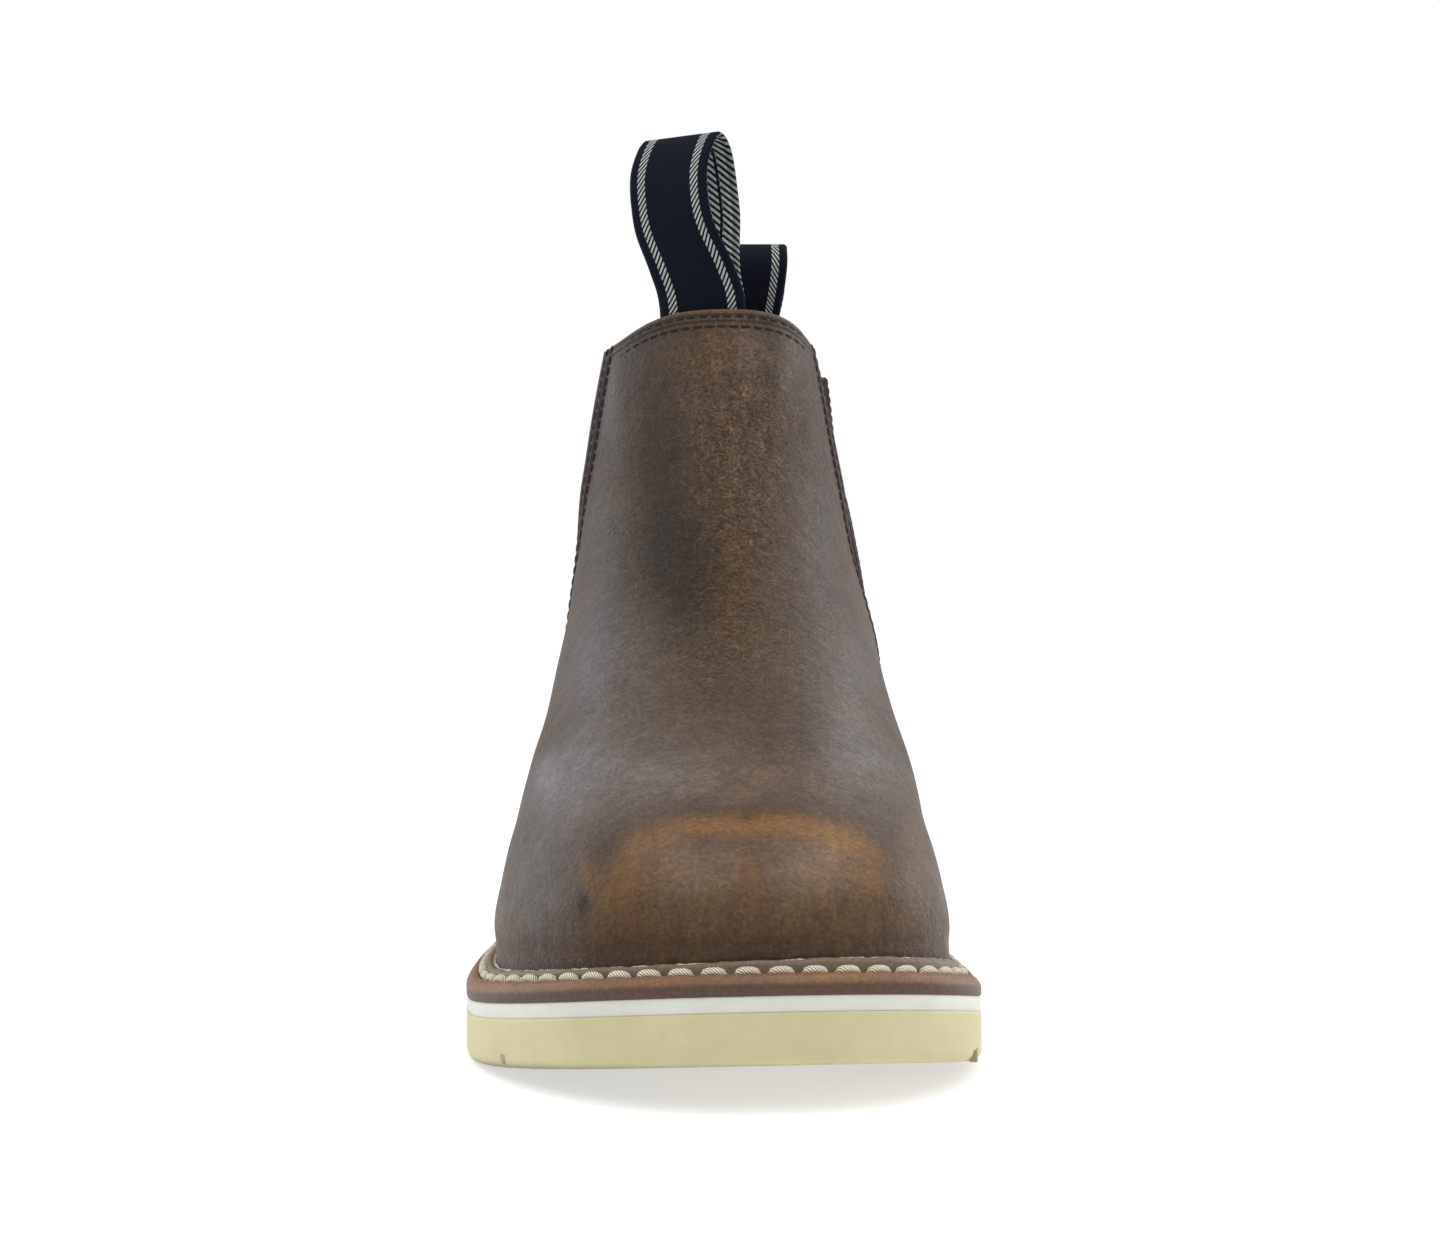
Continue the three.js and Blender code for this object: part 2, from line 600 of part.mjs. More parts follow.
const group = new THREE.Group();
group.add(
  node('outsole', outsole(), CREAM),
  node('midsole', midsole(), OFF_WHITE),
  node('welt', welt(), WELT_LEATHER),
  node('insole', insole(), FOOTBED),
  node('upper', upper(), LEATHER),
  node('gore_lateral', gore(-1), ELASTIC),
  node('gore_medial', gore(1), ELASTIC),
  node('pull_loop_front', pullLoop({
    heel: false,
    rise: FRONT_LOOP_RISE,
    shift: FRONT_LOOP_SHIFT,
    lean: FRONT_LOOP_LEAN,
    yaw: FRONT_LOOP_YAW,
  }), WEBBING),
  node('pull_loop_back', pullLoop({
    heel: true,
    rise: BACK_LOOP_RISE,
    shift: BACK_LOOP_SHIFT,
    lean: BACK_LOOP_LEAN,
    yaw: BACK_LOOP_YAW,
  }), WEBBING),
);

// The middle of the whole boot stands over the origin.
const middle = new THREE.Box3().setFromObject(group).getCenter(new THREE.Vector3());
group.position.set(-middle.x, -middle.y, 0);

export default group;
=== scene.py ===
"""Looks of a right pull-on leather work boot with elastic gores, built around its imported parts.

Lengths are millimetres until a mesh is made. The toe points to -Y, the medial side to +X and the
floor is z = 0. "Back" is a length counted from the toe tip of the sole towards the heel. "Turn" goes
round the boot: 0 at the toe, PI at the heel, the lateral side first.
"""

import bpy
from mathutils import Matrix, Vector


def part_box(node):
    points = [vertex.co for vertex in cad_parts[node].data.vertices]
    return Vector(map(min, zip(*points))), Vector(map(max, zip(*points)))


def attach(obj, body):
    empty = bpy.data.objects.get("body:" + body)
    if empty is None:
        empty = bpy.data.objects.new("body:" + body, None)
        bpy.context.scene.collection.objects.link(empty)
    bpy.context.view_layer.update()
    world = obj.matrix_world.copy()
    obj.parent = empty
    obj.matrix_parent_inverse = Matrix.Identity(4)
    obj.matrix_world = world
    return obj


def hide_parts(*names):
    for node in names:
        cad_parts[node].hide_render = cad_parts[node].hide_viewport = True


bl_info = {
    "name": "Work Boot",
    "version": (1, 0, 0),
    "blender": (4, 5, 0),
    "location": "View3D > Sidebar > Boot",
    "description": "Builds the visible surfaces of a pull-on leather work boot on a wedge sole",
    "category": "Add Mesh",
}

import math

import bpy
import numpy as np
from mathutils import Vector

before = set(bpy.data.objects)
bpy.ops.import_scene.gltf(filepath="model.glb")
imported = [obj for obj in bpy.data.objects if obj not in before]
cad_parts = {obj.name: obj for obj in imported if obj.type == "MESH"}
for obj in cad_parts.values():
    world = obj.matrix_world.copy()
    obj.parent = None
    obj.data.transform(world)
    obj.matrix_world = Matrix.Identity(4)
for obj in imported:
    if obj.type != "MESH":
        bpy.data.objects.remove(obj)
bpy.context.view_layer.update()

MM = 0.001
BODY = "root"

# Sole
SOLE_LENGTH = 302.0
BALL_WIDTH = 110.0
TOE_ROUND, TOE_BLUNT = 66.0, 2.45
HEEL_ROUND, HEEL_BLUNT = 50.0, 2.25
SWING = 8.0
TOE_SPRING, SPRING_LENGTH, SPRING_POWER = 8.6, 48.0, 1.25
HEEL_BEVEL, HEEL_BEVEL_LENGTH, HEEL_BEVEL_POWER = 2.5, 16.0, 1.5
TREAD_THICKNESS = 10.0
WEDGE_RISE, WEDGE_START, WEDGE_END = 17.5, 100.0, 228.0
MIDSOLE_THICKNESS = 2.5
CLEARANCE, PRESSED_GAP = 0.3, 0.03
TREAD_PITCH, TREAD_GROOVE, TREAD_DEPTH = 9.0, 2.6, 2.2
TREAD_SPANS = ((25.0, 140.0), (206.0, 286.0))
OUTER_TREAD_X, OUTER_TREAD_START = -20.0, 46.0
TOE_TWIST, TWIST_LENGTH = 1.5, 90.0

# Welt
WELT_THICKNESS = 4.3
WELT_REACH_TOE, WELT_REACH_HEEL = 6.5, 4.6
WELT_BEVEL = 1.8
WELT_RIB_WIDTH, WELT_RIB_HEIGHT, WELT_RIB_SWELL = 1.9, 2.2, 0.9
WELT_GROOVE_WIDTH, WELT_GROOVE_DEPTH = 1.6, 0.8

# Upper
BOOT_HEIGHT, FOOT_HEIGHT = 183.0, 82.0
UPPER_HALF_WIDTH = 49.6
VAMP_STEP = 0.8
WALL = 2.4
COLLAR_DIP, COLLAR_POWER = 17.0, 2.2
INSOLE_THICKNESS, FOOTBED_DISH = 5.0, 1.2
GORE_WALL, GORE_MARGIN = 1.6, 7.0
GORE_BOTTOM = {1: 78.0, -1: 82.0}
GORE_HALF_TOP, GORE_HALF_BOTTOM = 21.0, 12.0
GORE_LEAD, GORE_LEAD_RISE = 3.0, 30.0
VAMP_FLARE, QUARTER_FLARE, GORE_SINK = 1.7, 4.5, 3.0
GORE_BOTTOM_BACK = SOLE_LENGTH - 102.0
GORE_TOP_BACK = SOLE_LENGTH - 64.0
SEAM_SOLE_BACK = SOLE_LENGTH - 96.0

# The upper's stitch rows, counted from the leather's edge
SEAM_ROWS = (2.1, 4.1)

# Pull loops
WEBBING_WIDTH, WEBBING_THICKNESS = 25.0, 1.4
LOOP_TUCK, LOOP_GAP, LOOP_FOOT_DEPTH = 15.0, 17.0, 0.16
FRONT_LOOP = {"heel": False, "rise": 53.0, "shift": -6.0, "lean": -10.0, "yaw": 0.45}
BACK_LOOP = {"heel": True, "rise": 30.0, "shift": 0.0, "lean": 3.0, "yaw": -0.04}

# Photograph, in its own pixels: focal length and middle, and the camera's place in millimetres
PHOTO_SIZE = (1440, 1250)
PHOTO_FOCAL = 1919.0
CAMERA_PLACE = (1.065, -510.0, 92.0)
CAMERA_ROLL = 0.008
SENSOR_WIDTH = 36.0


def table(columns, rows):
    """A table with named columns, as one array for each column."""
    return {name: np.array([row[i] for row in rows]) for i, name in enumerate(columns.split())}


SOLE_PLAN = table("along width middle", [
    (0.0, 0.96, 1.0), (0.17, 1.0, -0.02), (0.34, 0.955, -0.28), (0.52, 0.8, -0.3),
    (0.66, 0.745, -0.05), (0.84, 0.75, 0.5), (1.0, 0.72, 0.9),
])

# Rings of the upper, from the midsole to the collar, with the columns of the part's own table.
RINGS = table("height front back round blunt ball waist heel lean tuck", [
    (0.0, 0.022, 0.985, 0.22, 2.45, 0.97, 0.76, 0.72, 0.0, 1.0),
    (0.047, 0.022, 0.985, 0.22, 2.45, 0.97, 0.77, 0.72, 0.0, 1.0),
    (0.076, 0.018, 0.988, 0.22, 2.45, 0.985, 0.8, 0.735, 0.05, 0.35),
    (0.12, 0.022, 0.99, 0.222, 2.42, 0.965, 0.82, 0.74, 0.12, 0.0),
    (0.157, 0.038, 0.99, 0.228, 2.36, 0.95, 0.835, 0.74, 0.18, 0.0),
    (0.188, 0.062, 0.99, 0.238, 2.28, 0.935, 0.845, 0.735, 0.23, 0.0),
    (0.219, 0.096, 0.988, 0.25, 2.2, 0.935, 0.86, 0.73, 0.3, 0.0),
    (0.256, 0.147, 0.985, 0.262, 2.15, 0.93, 0.88, 0.72, 0.35, 0.0),
    (0.306, 0.217, 0.982, 0.275, 2.1, 0.905, 0.885, 0.705, 0.35, 0.0),
    (0.374, 0.31, 0.977, 0.275, 2.08, 0.888, 0.878, 0.685, 0.25, 0.0),
    (0.461, 0.408, 0.971, 0.24, 2.08, 0.86, 0.85, 0.66, 0.17, 0.0),
    (0.572, 0.501, 0.965, 0.195, 2.08, 0.835, 0.83, 0.635, 0.07, 0.0),
    (0.696, 0.565, 0.963, 0.16, 2.1, 0.81, 0.81, 0.625, -0.03, 0.0),
    (0.833, 0.602, 0.967, 0.145, 2.15, 0.75, 0.76, 0.615, -0.08, 0.0),
    (0.969, 0.626, 0.977, 0.135, 2.2, 0.66, 0.7, 0.6, -0.08, 0.0),
])

COLLAR_LINE = table("along dip middle", [
    (0.0, 0.0, 0.25), (0.14, -0.4, -0.05), (0.32, -0.92, -0.52), (0.5, -1.0, -0.5),
    (0.68, -0.6, -0.05), (0.86, 0.1, 0.55), (1.0, 0.35, 0.95),
])

LOOP_PATH = [
    (0.06, 0.0, 0.02), (0.25, -0.02, 0.3), (0.5, 0.02, 0.85), (0.75, 0.1, 1.05), (0.92, 0.28, 1.0),
    (1.0, 0.55, 0.95), (0.93, 0.85, 0.9), (0.75, 1.0, 0.85), (0.5, 0.82, 0.6), (0.25, 0.4, 0.25),
    (0.06, LOOP_FOOT_DEPTH, 0.02),
]

TOP_RING = len(RINGS["height"]) - 1
TOE_Y = -SOLE_LENGTH / 2
TURN_STEP = 0.02

# Marks lower than this in the photograph stay on the toe: they fade out at a length from its tip.
TOE_MARKS_FROM, TOE_MARKS_END, TOE_MARKS_FADE = 740.0, 110.0, 35.0

# Soft marks on the vamp, placed where the photograph shows them, in its pixels: middle, reach
# sideways and up, and how much darker (tone under 0), more orange (glow) or greyer (haze) the leather is.
# Haze is painted sheen: the grey of light reflected at the sides of the vamp and shaft. Tone is partly the
# leather's own patches and partly painted light: the lighter marks on the lower vamp and over the toe,
# brightest in the two round ones on the toe, are painted highlights, and the dark marks down the middle of
# the shaft and along the bottom of the toe are painted shade.
MARKS = table("across down wide high tone glow haze", [
    (655, 430, 34, 110, -0.8, 0.0, 0.0),
    (668, 560, 40, 80, -0.85, 0.0, 0.0),
    (715, 470, 60, 120, -0.25, 0.15, 0.0),
    (730, 590, 20, 60, 0.1, 0.5, 0.0),
    (722, 600, 60, 90, -0.8, 0.35, 0.0),
    (720, 345, 50, 26, 0.1, 0.3, 0.0),
    (752, 355, 14, 34, 0.35, 0.0, 0.3),
    (735, 700, 60, 34, -0.3, 0.15, 0.0),
    (612, 390, 10, 60, 0.15, 0.0, 0.9),
    (606, 560, 16, 90, -0.3, 0.0, 0.6),
    (590, 670, 26, 60, 0.2, 0.0, 0.8),
    (640, 640, 26, 60, 0.0, 0.0, 0.4),
    (792, 360, 12, 40, 0.3, 0.0, 0.5),
    (818, 560, 22, 110, -0.1, 0.0, 0.6),
    (850, 690, 30, 70, 0.5, 0.0, 0.6),
    (562, 780, 44, 60, 0.55, 0.0, 0.75),
    (640, 770, 60, 40, 0.3, 0.0, 0.45),
    (545, 775, 14, 26, 0.5, 0.0, 0.4),
    (870, 765, 50, 50, 0.65, 0.0, 0.5),
    (720, 778, 110, 26, 0.5, 0.25, 0.2),
    (588, 880, 10, 26, 0.1, 0.8, 0.0),
    (606, 866, 20, 24, -0.3, 0.2, 0.0),
    (630, 900, 40, 50, -0.25, 0.3, 0.0),
    (604, 850, 18, 30, -0.5, 0.0, 0.0),
    (581, 903, 5, 12, -1.5, 0.0, 0.0),
    (744, 820, 7, 6, -0.9, 0.0, 0.0),
    (692, 870, 46, 28, 1.5, 0.08, 0.0),
    (818, 866, 42, 34, 2.0, 0.1, 0.0),
    (748, 870, 14, 50, 0.0, 0.5, 0.0),
    (700, 915, 110, 30, 0.0, 0.35, 0.0),
    (690, 946, 150, 18, -0.35, 0.3, 0.0),
    (840, 930, 60, 30, 0.1, 0.3, 0.0),
    (535, 890, 26, 60, -0.1, 0.0, 0.5),
    (912, 880, 22, 60, 0.45, 0.3, 0.1),
])

# Where the vamp flexes and its grain has cracked, in the same pixels.
FLEX = table("across down wide high amount", [
    (738, 440, 56, 120, 1.0), (716, 600, 46, 90, 1.0), (640, 560, 40, 120, 0.35), (790, 620, 50, 120, 0.35),
])

# The burnished band over the toe follows part of a superellipse: its middle, half axes and power.
TOE_BAND_MIDDLE, TOE_BAND_AXES, TOE_BAND_POWER = (742.0, 905.0), (150.0, 92.0), 3.0


def rgb(red, green, blue):
    """A colour of the photograph's kind, 0 to 255, as linear red, green, blue and 1."""
    parts = [c / 255 for c in (red, green, blue)]
    return [c / 12.92 if c <= 0.04045 else ((c + 0.055) / 1.055) ** 2.4 for c in parts] + [1.0]


def mix(a, b, share):
    return a + (b - a) * share


def smooth(share):
    """0 up to 0, 1 from 1 on, and 3s squared less 2s cubed between."""
    s = np.clip(share, 0, 1)
    return s * s * (3 - 2 * s)


def between_rows(values, place):
    """Catmull-Rom cubic through four neighbouring values, at a row number that may lie between rows."""
    last = len(values) - 1
    low = np.clip(np.floor(place).astype(int), 0, last - 1)
    t = place - low
    picks = [np.clip(low + k, 0, last) for k in (-1, 0, 1, 2)]
    if values.ndim == 1:
        a, b, c, d = (values[k] for k in picks)
    else:
        a, b, c, d = (np.take_along_axis(values, k[None], 0)[0] for k in picks)
    return b + 0.5 * t * (c - a + t * (2 * a - 5 * b + 4 * c - d + t * (3 * (b - c) + d - a)))


def along_rows(alongs, values, along):
    """The same cubic, where each row's place is its share along."""
    low = np.clip(np.searchsorted(alongs, along) - 1, 0, len(alongs) - 2)
    share = np.clip((along - alongs[low]) / (alongs[low + 1] - alongs[low]), 0, 1)
    return between_rows(values, low + share)


def round_end(distance, length, blunt):
    """A superellipse: (1 - (1 - distance / length) ** blunt) ** (1 / blunt)."""
    left = 1 - np.clip(distance / length, 0, 1)
    return np.maximum(0, 1 - left**blunt) ** (1 / blunt)


def toe_spring(back):
    return TOE_SPRING * np.maximum(0, 1 - back / SPRING_LENGTH) ** SPRING_POWER


def ground_face(back):
    """The toe spring, and the bevel at the very back of the heel."""
    bevel = np.maximum(0, 1 - (SOLE_LENGTH - back) / HEEL_BEVEL_LENGTH) ** HEEL_BEVEL_POWER
    return toe_spring(back) + HEEL_BEVEL * bevel


def tread_top(back):
    wedge = smooth((back - WEDGE_START) / (WEDGE_END - WEDGE_START))
    return toe_spring(back) + TREAD_THICKNESS + WEDGE_RISE * wedge


def midsole_top(back):
    return tread_top(back) + CLEARANCE + MIDSOLE_THICKNESS


def welt_top(back):
    return midsole_top(back) + CLEARANCE + WELT_THICKNESS


def sole_plan(back):
    """Half width and middle line of the sole's plan at a length from the toe."""
    along = back / SOLE_LENGTH
    ends = round_end(back, TOE_ROUND, TOE_BLUNT) * round_end(SOLE_LENGTH - back, HEEL_ROUND, HEEL_BLUNT)
    half = BALL_WIDTH / 2 * along_rows(SOLE_PLAN["along"], SOLE_PLAN["width"], along) * ends
    return half, SWING * along_rows(SOLE_PLAN["along"], SOLE_PLAN["middle"], along)


def turn_place(turn):
    """Share along the foot, (1 - cos turn) / 2, and the side, -1 lateral and 1 medial."""
    turn = np.mod(turn, 2 * np.pi)
    return (1 - np.cos(turn)) / 2, np.where(turn <= np.pi, -1.0, 1.0)


def outline_point(turn, inset):
    """The sole's outline moved inwards, square to itself: x and back."""

    def at(angle):
        share, side = turn_place(angle)
        half, middle = sole_plan(share * SOLE_LENGTH)
        return middle + side * half, share * SOLE_LENGTH

    x, back = at(turn)
    after_x, after_back = at(turn + TURN_STEP)
    before_x, before_back = at(turn - TURN_STEP)
    length = np.hypot(after_x - before_x, after_back - before_back)
    return x + inset * (after_back - before_back) / length, back - inset * (after_x - before_x) / length


def welt_reach(turn):
    """How far the welt stands out past the upper, more at the toe than at the heel."""
    return mix(WELT_REACH_TOE, WELT_REACH_HEEL, smooth(turn_place(turn)[0] * 1.4 - 0.2))


def upper_point(level, turn):
    """The upper's outer face at a row number of RINGS and a turn.

    Each ring runs from its front to its back, its half width swells from ball to waist to heel and
    is closed by a superellipse at both ends. The foot part rides on the wedge, the lowest rings tuck
    into the welt's feather line, and the top follows the collar's dip.
    """
    level, turn = np.broadcast_arrays(np.asarray(level, float), np.asarray(turn, float))
    ring = {name: between_rows(RINGS[name], level) for name in RINGS}
    share, side = turn_place(turn)
    front, back = ring["front"] * SOLE_LENGTH, ring["back"] * SOLE_LENGTH
    place = mix(front, back, share)
    foot = midsole_top(0.0) + CLEARANCE
    ring_top = mix(foot, BOOT_HEIGHT, RINGS["height"][TOP_RING])
    nominal = mix(foot, BOOT_HEIGHT, ring["height"])
    halves = np.stack([ring["ball"], ring["ball"], ring["waist"], ring["heel"], ring["heel"]])
    width = along_rows(np.array([0, 0.3, 0.6, 0.85, 1.0]), halves, share)
    toe = round_end(place - front, ring["round"] * SOLE_LENGTH, ring["blunt"])
    half = UPPER_HALF_WIDTH * width * toe * round_end(back - place, HEEL_ROUND, HEEL_BLUNT)
    shaft = smooth((nominal - FOOT_HEIGHT) / (BOOT_HEIGHT - FOOT_HEIGHT))
    collar_middle = SWING * along_rows(COLLAR_LINE["along"], COLLAR_LINE["middle"], share)
    sweep = mix(sole_plan(place)[1], collar_middle, shaft)
    middle = sweep + SWING * ring["lean"] * np.abs(np.sin(np.pi * share)) ** 0.5
    feather_x, feather_back = outline_point(turn, welt_reach(turn))
    tuck = np.clip(ring["tuck"], 0, 1)
    x = mix(middle + side * half, feather_x, tuck)
    y = mix(place, feather_back, tuck)
    settle = np.clip((FOOT_HEIGHT - nominal) / (FOOT_HEIGHT - foot), 0, 1)
    collar = np.maximum(0, (nominal - FOOT_HEIGHT) / (BOOT_HEIGHT - FOOT_HEIGHT)) ** COLLAR_POWER
    dip = COLLAR_DIP * along_rows(COLLAR_LINE["along"], COLLAR_LINE["dip"], share)
    z = nominal + settle * (welt_top(y) - welt_top(0.0)) + collar * (dip + BOOT_HEIGHT - ring_top)
    return np.stack([x, TOE_Y + y, z], -1)


def upper_frame(level, turn):
    """A point of the outer face and the unit vector square to it, pointing into the boot."""
    step = 0.01
    up = upper_point(np.minimum(TOP_RING, level + step), turn)
    up = up - upper_point(np.maximum(0, level - step), turn)
    around = upper_point(level, turn + step) - upper_point(level, turn - step)
    inward = np.cross(around, up)
    return upper_point(level, turn), inward / np.linalg.norm(inward, axis=-1, keepdims=True)


def upper_inside(level, turn, depth):
    point, inward = upper_frame(level, turn)
    return point + inward * np.asarray(depth)[..., None]


OUTLINE_X = outline_point(np.linspace(0, 2 * np.pi, 721), 0.0)[0]
SOLE_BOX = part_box("outsole")
SHIFT_X = (SOLE_BOX[0].x + SOLE_BOX[1].x) / 2 / MM - (OUTLINE_X.min() + OUTLINE_X.max()) / 2


def seen(points):
    """Where the photograph's camera sees points, in its pixels: across and down."""
    depth = points[..., 1] - CAMERA_PLACE[1]
    across = PHOTO_SIZE[0] / 2 + (points[..., 0] + SHIFT_X - CAMERA_PLACE[0]) * PHOTO_FOCAL / depth
    return across, PHOTO_SIZE[1] / 2 + (CAMERA_PLACE[2] - points[..., 2]) * PHOTO_FOCAL / depth


# Meshes


def grid_faces(rows, columns, close_rows=False, close_columns=False):
    """Quads of a grid of vertices, row by row, that may close on itself either way."""
    r = np.arange(rows if close_rows else rows - 1)
    c = np.arange(columns if close_columns else columns - 1)
    r, c = np.meshgrid(r, c, indexing="ij")
    r2, c2 = (r + 1) % rows, (c + 1) % columns
    quads = np.stack([r * columns + c, r * columns + c2, r2 * columns + c2, r2 * columns + c], -1)
    return quads.reshape(-1, 4)


def facing_out(points, quads):
    """The quads, turned round if the volume under them is negative."""
    p = points[quads]
    volume = np.einsum("ij,ij->", p[:, 0], np.cross(p[:, 1] - p[:, 0], p[:, 2] - p[:, 0]))
    volume += np.einsum("ij,ij->", p[:, 0], np.cross(p[:, 2] - p[:, 0], p[:, 3] - p[:, 0]))
    return quads if volume > 0 else quads[:, ::-1]


def toe_twist(points):
    """The toe springs up a little more on its medial side: a lift that grows with x and fades backwards."""
    x, back, z = points[:, 0], points[:, 1] - TOE_Y, points[:, 2]
    fade = np.maximum(0, 1 - back / TWIST_LENGTH) ** 1.4 * smooth((FOOT_HEIGHT - z) / 50)
    return TOE_TWIST * fade * np.clip(0.5 + x / BALL_WIDTH, 0, 1)


def make_piece(name, points, faces, material, fields=None, node=None, smooth_angle=None):
    """One object at the origin, with its place in its mesh, riding on the boot's body."""
    mesh = bpy.data.meshes.new(name)
    points = np.array(points, float).reshape(-1, 3)
    points[:, 2] += toe_twist(points)
    placed = (points + (SHIFT_X, 0, 0)) * MM
    mesh.from_pydata(placed.tolist(), [], [list(map(int, f)) for f in faces])
    for key, values in (fields or {}).items():
        attribute = mesh.attributes.new(key, "FLOAT", "POINT")
        attribute.data.foreach_set("value", np.asarray(values, np.float32).ravel())
    mesh.validate()
    mesh.shade_smooth()
    if smooth_angle:
        mesh.set_sharp_from_angle(angle=math.radians(smooth_angle))
    mesh.materials.append(material)
    piece = bpy.data.objects.new(name, mesh)
    bpy.context.scene.collection.objects.link(piece)
    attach(piece, BODY)
    if node:
        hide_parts(*node)
    return piece


def closed_patch(outer, inner, fields):
    """Two like grids, outer and inner, closed along all four edges, as points, quads and fields.

    Each field is a pair: its values on the outer grid and on the inner one.
    """
    rows, columns = outer.shape[:2]
    points = np.concatenate([outer.reshape(-1, 3), inner.reshape(-1, 3)])
    front = grid_faces(rows, columns)
    back = front[:, ::-1] + rows * columns
    edge = np.concatenate([
        np.arange(columns),
        np.arange(2, rows + 1) * columns - 1,
        (rows - 1) * columns + np.arange(columns - 2, -1, -1),
        np.arange(rows - 2, 0, -1) * columns,
    ])
    following = np.roll(edge, -1)
    inside = rows * columns
    rim = np.stack([edge, edge + inside, following + inside, following], -1)
    quads = facing_out(points, np.concatenate([front, back, rim]))
    merged = {name: np.concatenate([a.ravel(), b.ravel()]) for name, (a, b) in fields.items()}
    return points, quads, merged


def arc_lengths(points):
    """Length along each row of a grid of points."""
    steps = np.linalg.norm(np.diff(points, axis=1), axis=-1)
    return np.concatenate([np.zeros((len(points), 1)), np.cumsum(steps, 1)], 1)


def even_turns(spacing, extra=()):
    """Turns from toe to heel that lie evenly along the sole's outline, and some extra ones."""
    fine = np.linspace(0, np.pi, 6000)
    x, back = outline_point(fine, 0.0)
    lengths = np.concatenate([[0], np.cumsum(np.hypot(np.diff(x), np.diff(back)))])
    turns = np.interp(np.linspace(0, lengths[-1], int(lengths[-1] / spacing)), lengths, fine)
    turns = np.sort(np.concatenate([turns, extra]))
    return turns[np.concatenate([[True], np.diff(turns) > 1e-4])]


def sole_layer(name, bottom, top, edge, turns, across, material, node, ripple=None):
    """A layer of the sole: a wall round the outline, and a floor and a roof of rows across it.

    Edge rows give an inset and a share of the height, from the floor up. Ripple lifts the floor.
    """
    insets, heights = edge
    ring = np.concatenate([turns, 2 * np.pi - turns[-2:0:-1]])
    count, half = len(ring), len(turns) - 1
    x, back = outline_point(ring[:, None], insets[None, :] + np.zeros((count, 1)))

    def raised(x, back, share):
        low = bottom(back)
        z = mix(low, top(back), share)
        if ripple:
            z = np.maximum(z, low + ripple(x, back))
        return np.stack([x, TOE_Y + back, z], -1)

    wall = raised(x, back, heights)
    columns = len(heights)
    points = [wall.reshape(-1, 3)]
    out = grid_faces(count, columns, close_rows=True)
    faces = list(facing_out(points[0], out))
    turned = not np.array_equal(out[0], faces[0])
    s = np.linspace(0, 1, across + 2)[1:-1]
    rows = np.arange(1, half)
    start = count * columns
    for column, roof in ((0, False), (columns - 1, True)):
        left, right = rows, count - rows
        crossing = raised(
            mix(x[left, column][:, None], x[right, column][:, None], s),
            mix(back[left, column][:, None], back[right, column][:, None], s),
            heights[column],
        )
        points.append(crossing.reshape(-1, 3))
        inner = start + np.arange(crossing.shape[0] * across).reshape(-1, across)
        start += inner.size
        first, last = ((side * columns + column)[:, None] for side in (left, right))
        lines = np.concatenate([first, inner, last], 1)
        quads = np.stack([lines[:-1, :-1], lines[:-1, 1:], lines[1:, 1:], lines[1:, :-1]], -1).reshape(-1, 4)
        ends = [[column, *lines[0][::-1]], [half * columns + column, *lines[-1]]]
        if roof == turned:
            quads, ends = quads[:, ::-1], [end[::-1] for end in ends]
        faces += list(quads) + ends
    return make_piece(name, np.concatenate(points), faces, material, node=[node], smooth_angle=50)


def stitches(name, rows, material, length, radius, lift, pitch):
    """Rows of thread stitches: each is a short capsule laid along its row, its ends dipping in.

    A row is a pair of arrays, points and outward vectors. Along a stitch u runs from -1 to 1, its
    radius is r (1 - u ** 6) ** 0.5, and it stands lift (1 - u ** 4) proud of the row.
    """
    u = np.array([-1.0, -0.93, -0.72, -0.36, 0.0, 0.36, 0.72, 0.93, 1.0])
    angles = np.linspace(0, 2 * np.pi, 9)[:-1]
    girth = radius * np.sqrt(np.maximum(1 - u**6, 0.02))
    height = lift * (1 - u**4) - radius * 0.6
    quads = grid_faces(len(u), len(angles), close_columns=True)
    all_points, all_faces, all_along, start = [], [], [], 0
    for points, outward in rows:
        steps = np.concatenate([[0], np.cumsum(np.linalg.norm(np.diff(points, axis=0), axis=1))])
        count = max(1, int(steps[-1] / pitch))
        middles = (np.arange(count) + 0.5) * steps[-1] / count
        centre = np.stack([np.interp(middles, steps, points[:, k]) for k in range(3)], 1)
        ahead = np.stack([np.interp(middles + 0.6, steps, points[:, k]) for k in range(3)], 1)
        behind = np.stack([np.interp(middles - 0.6, steps, points[:, k]) for k in range(3)], 1)
        out = np.stack([np.interp(middles, steps, outward[:, k]) for k in range(3)], 1)
        tangent = ahead - behind
        tangent /= np.linalg.norm(tangent, axis=1, keepdims=True)
        side = np.cross(tangent, out)
        side /= np.linalg.norm(side, axis=1, keepdims=True)
        out = np.cross(side, tangent)
        body = (
            centre[:, None, None]
            + tangent[:, None, None] * (u * length / 2)[None, :, None, None]
            + side[:, None, None] * (girth[:, None] * np.cos(angles))[None, ..., None]
            + out[:, None, None] * (height[:, None] + girth[:, None] * np.sin(angles))[None, ..., None]
        )
        size = len(u) * len(angles)
        for index in range(count):
            shifted = quads + start + index * size
            all_faces += list(shifted)
            all_faces.append(list(range(start + index * size, start + index * size + len(angles)))[::-1])
            last = start + (index + 1) * size - len(angles)
            all_faces.append(list(range(last, last + len(angles))))
        all_points.append(body.reshape(-1, 3))
        twist = (u * length / 2)[:, None] + radius * angles[None, :]
        all_along.append(np.tile(twist.ravel(), count))
        start += count * size
    points = np.concatenate(all_points)
    first = points[:size] - points[:size].mean(0)
    if not np.array_equal(facing_out(first, quads), quads):
        all_faces = [list(f)[::-1] for f in all_faces]
    return make_piece(name, points, all_faces, material, {"twist": np.concatenate(all_along)})


# Leather panels


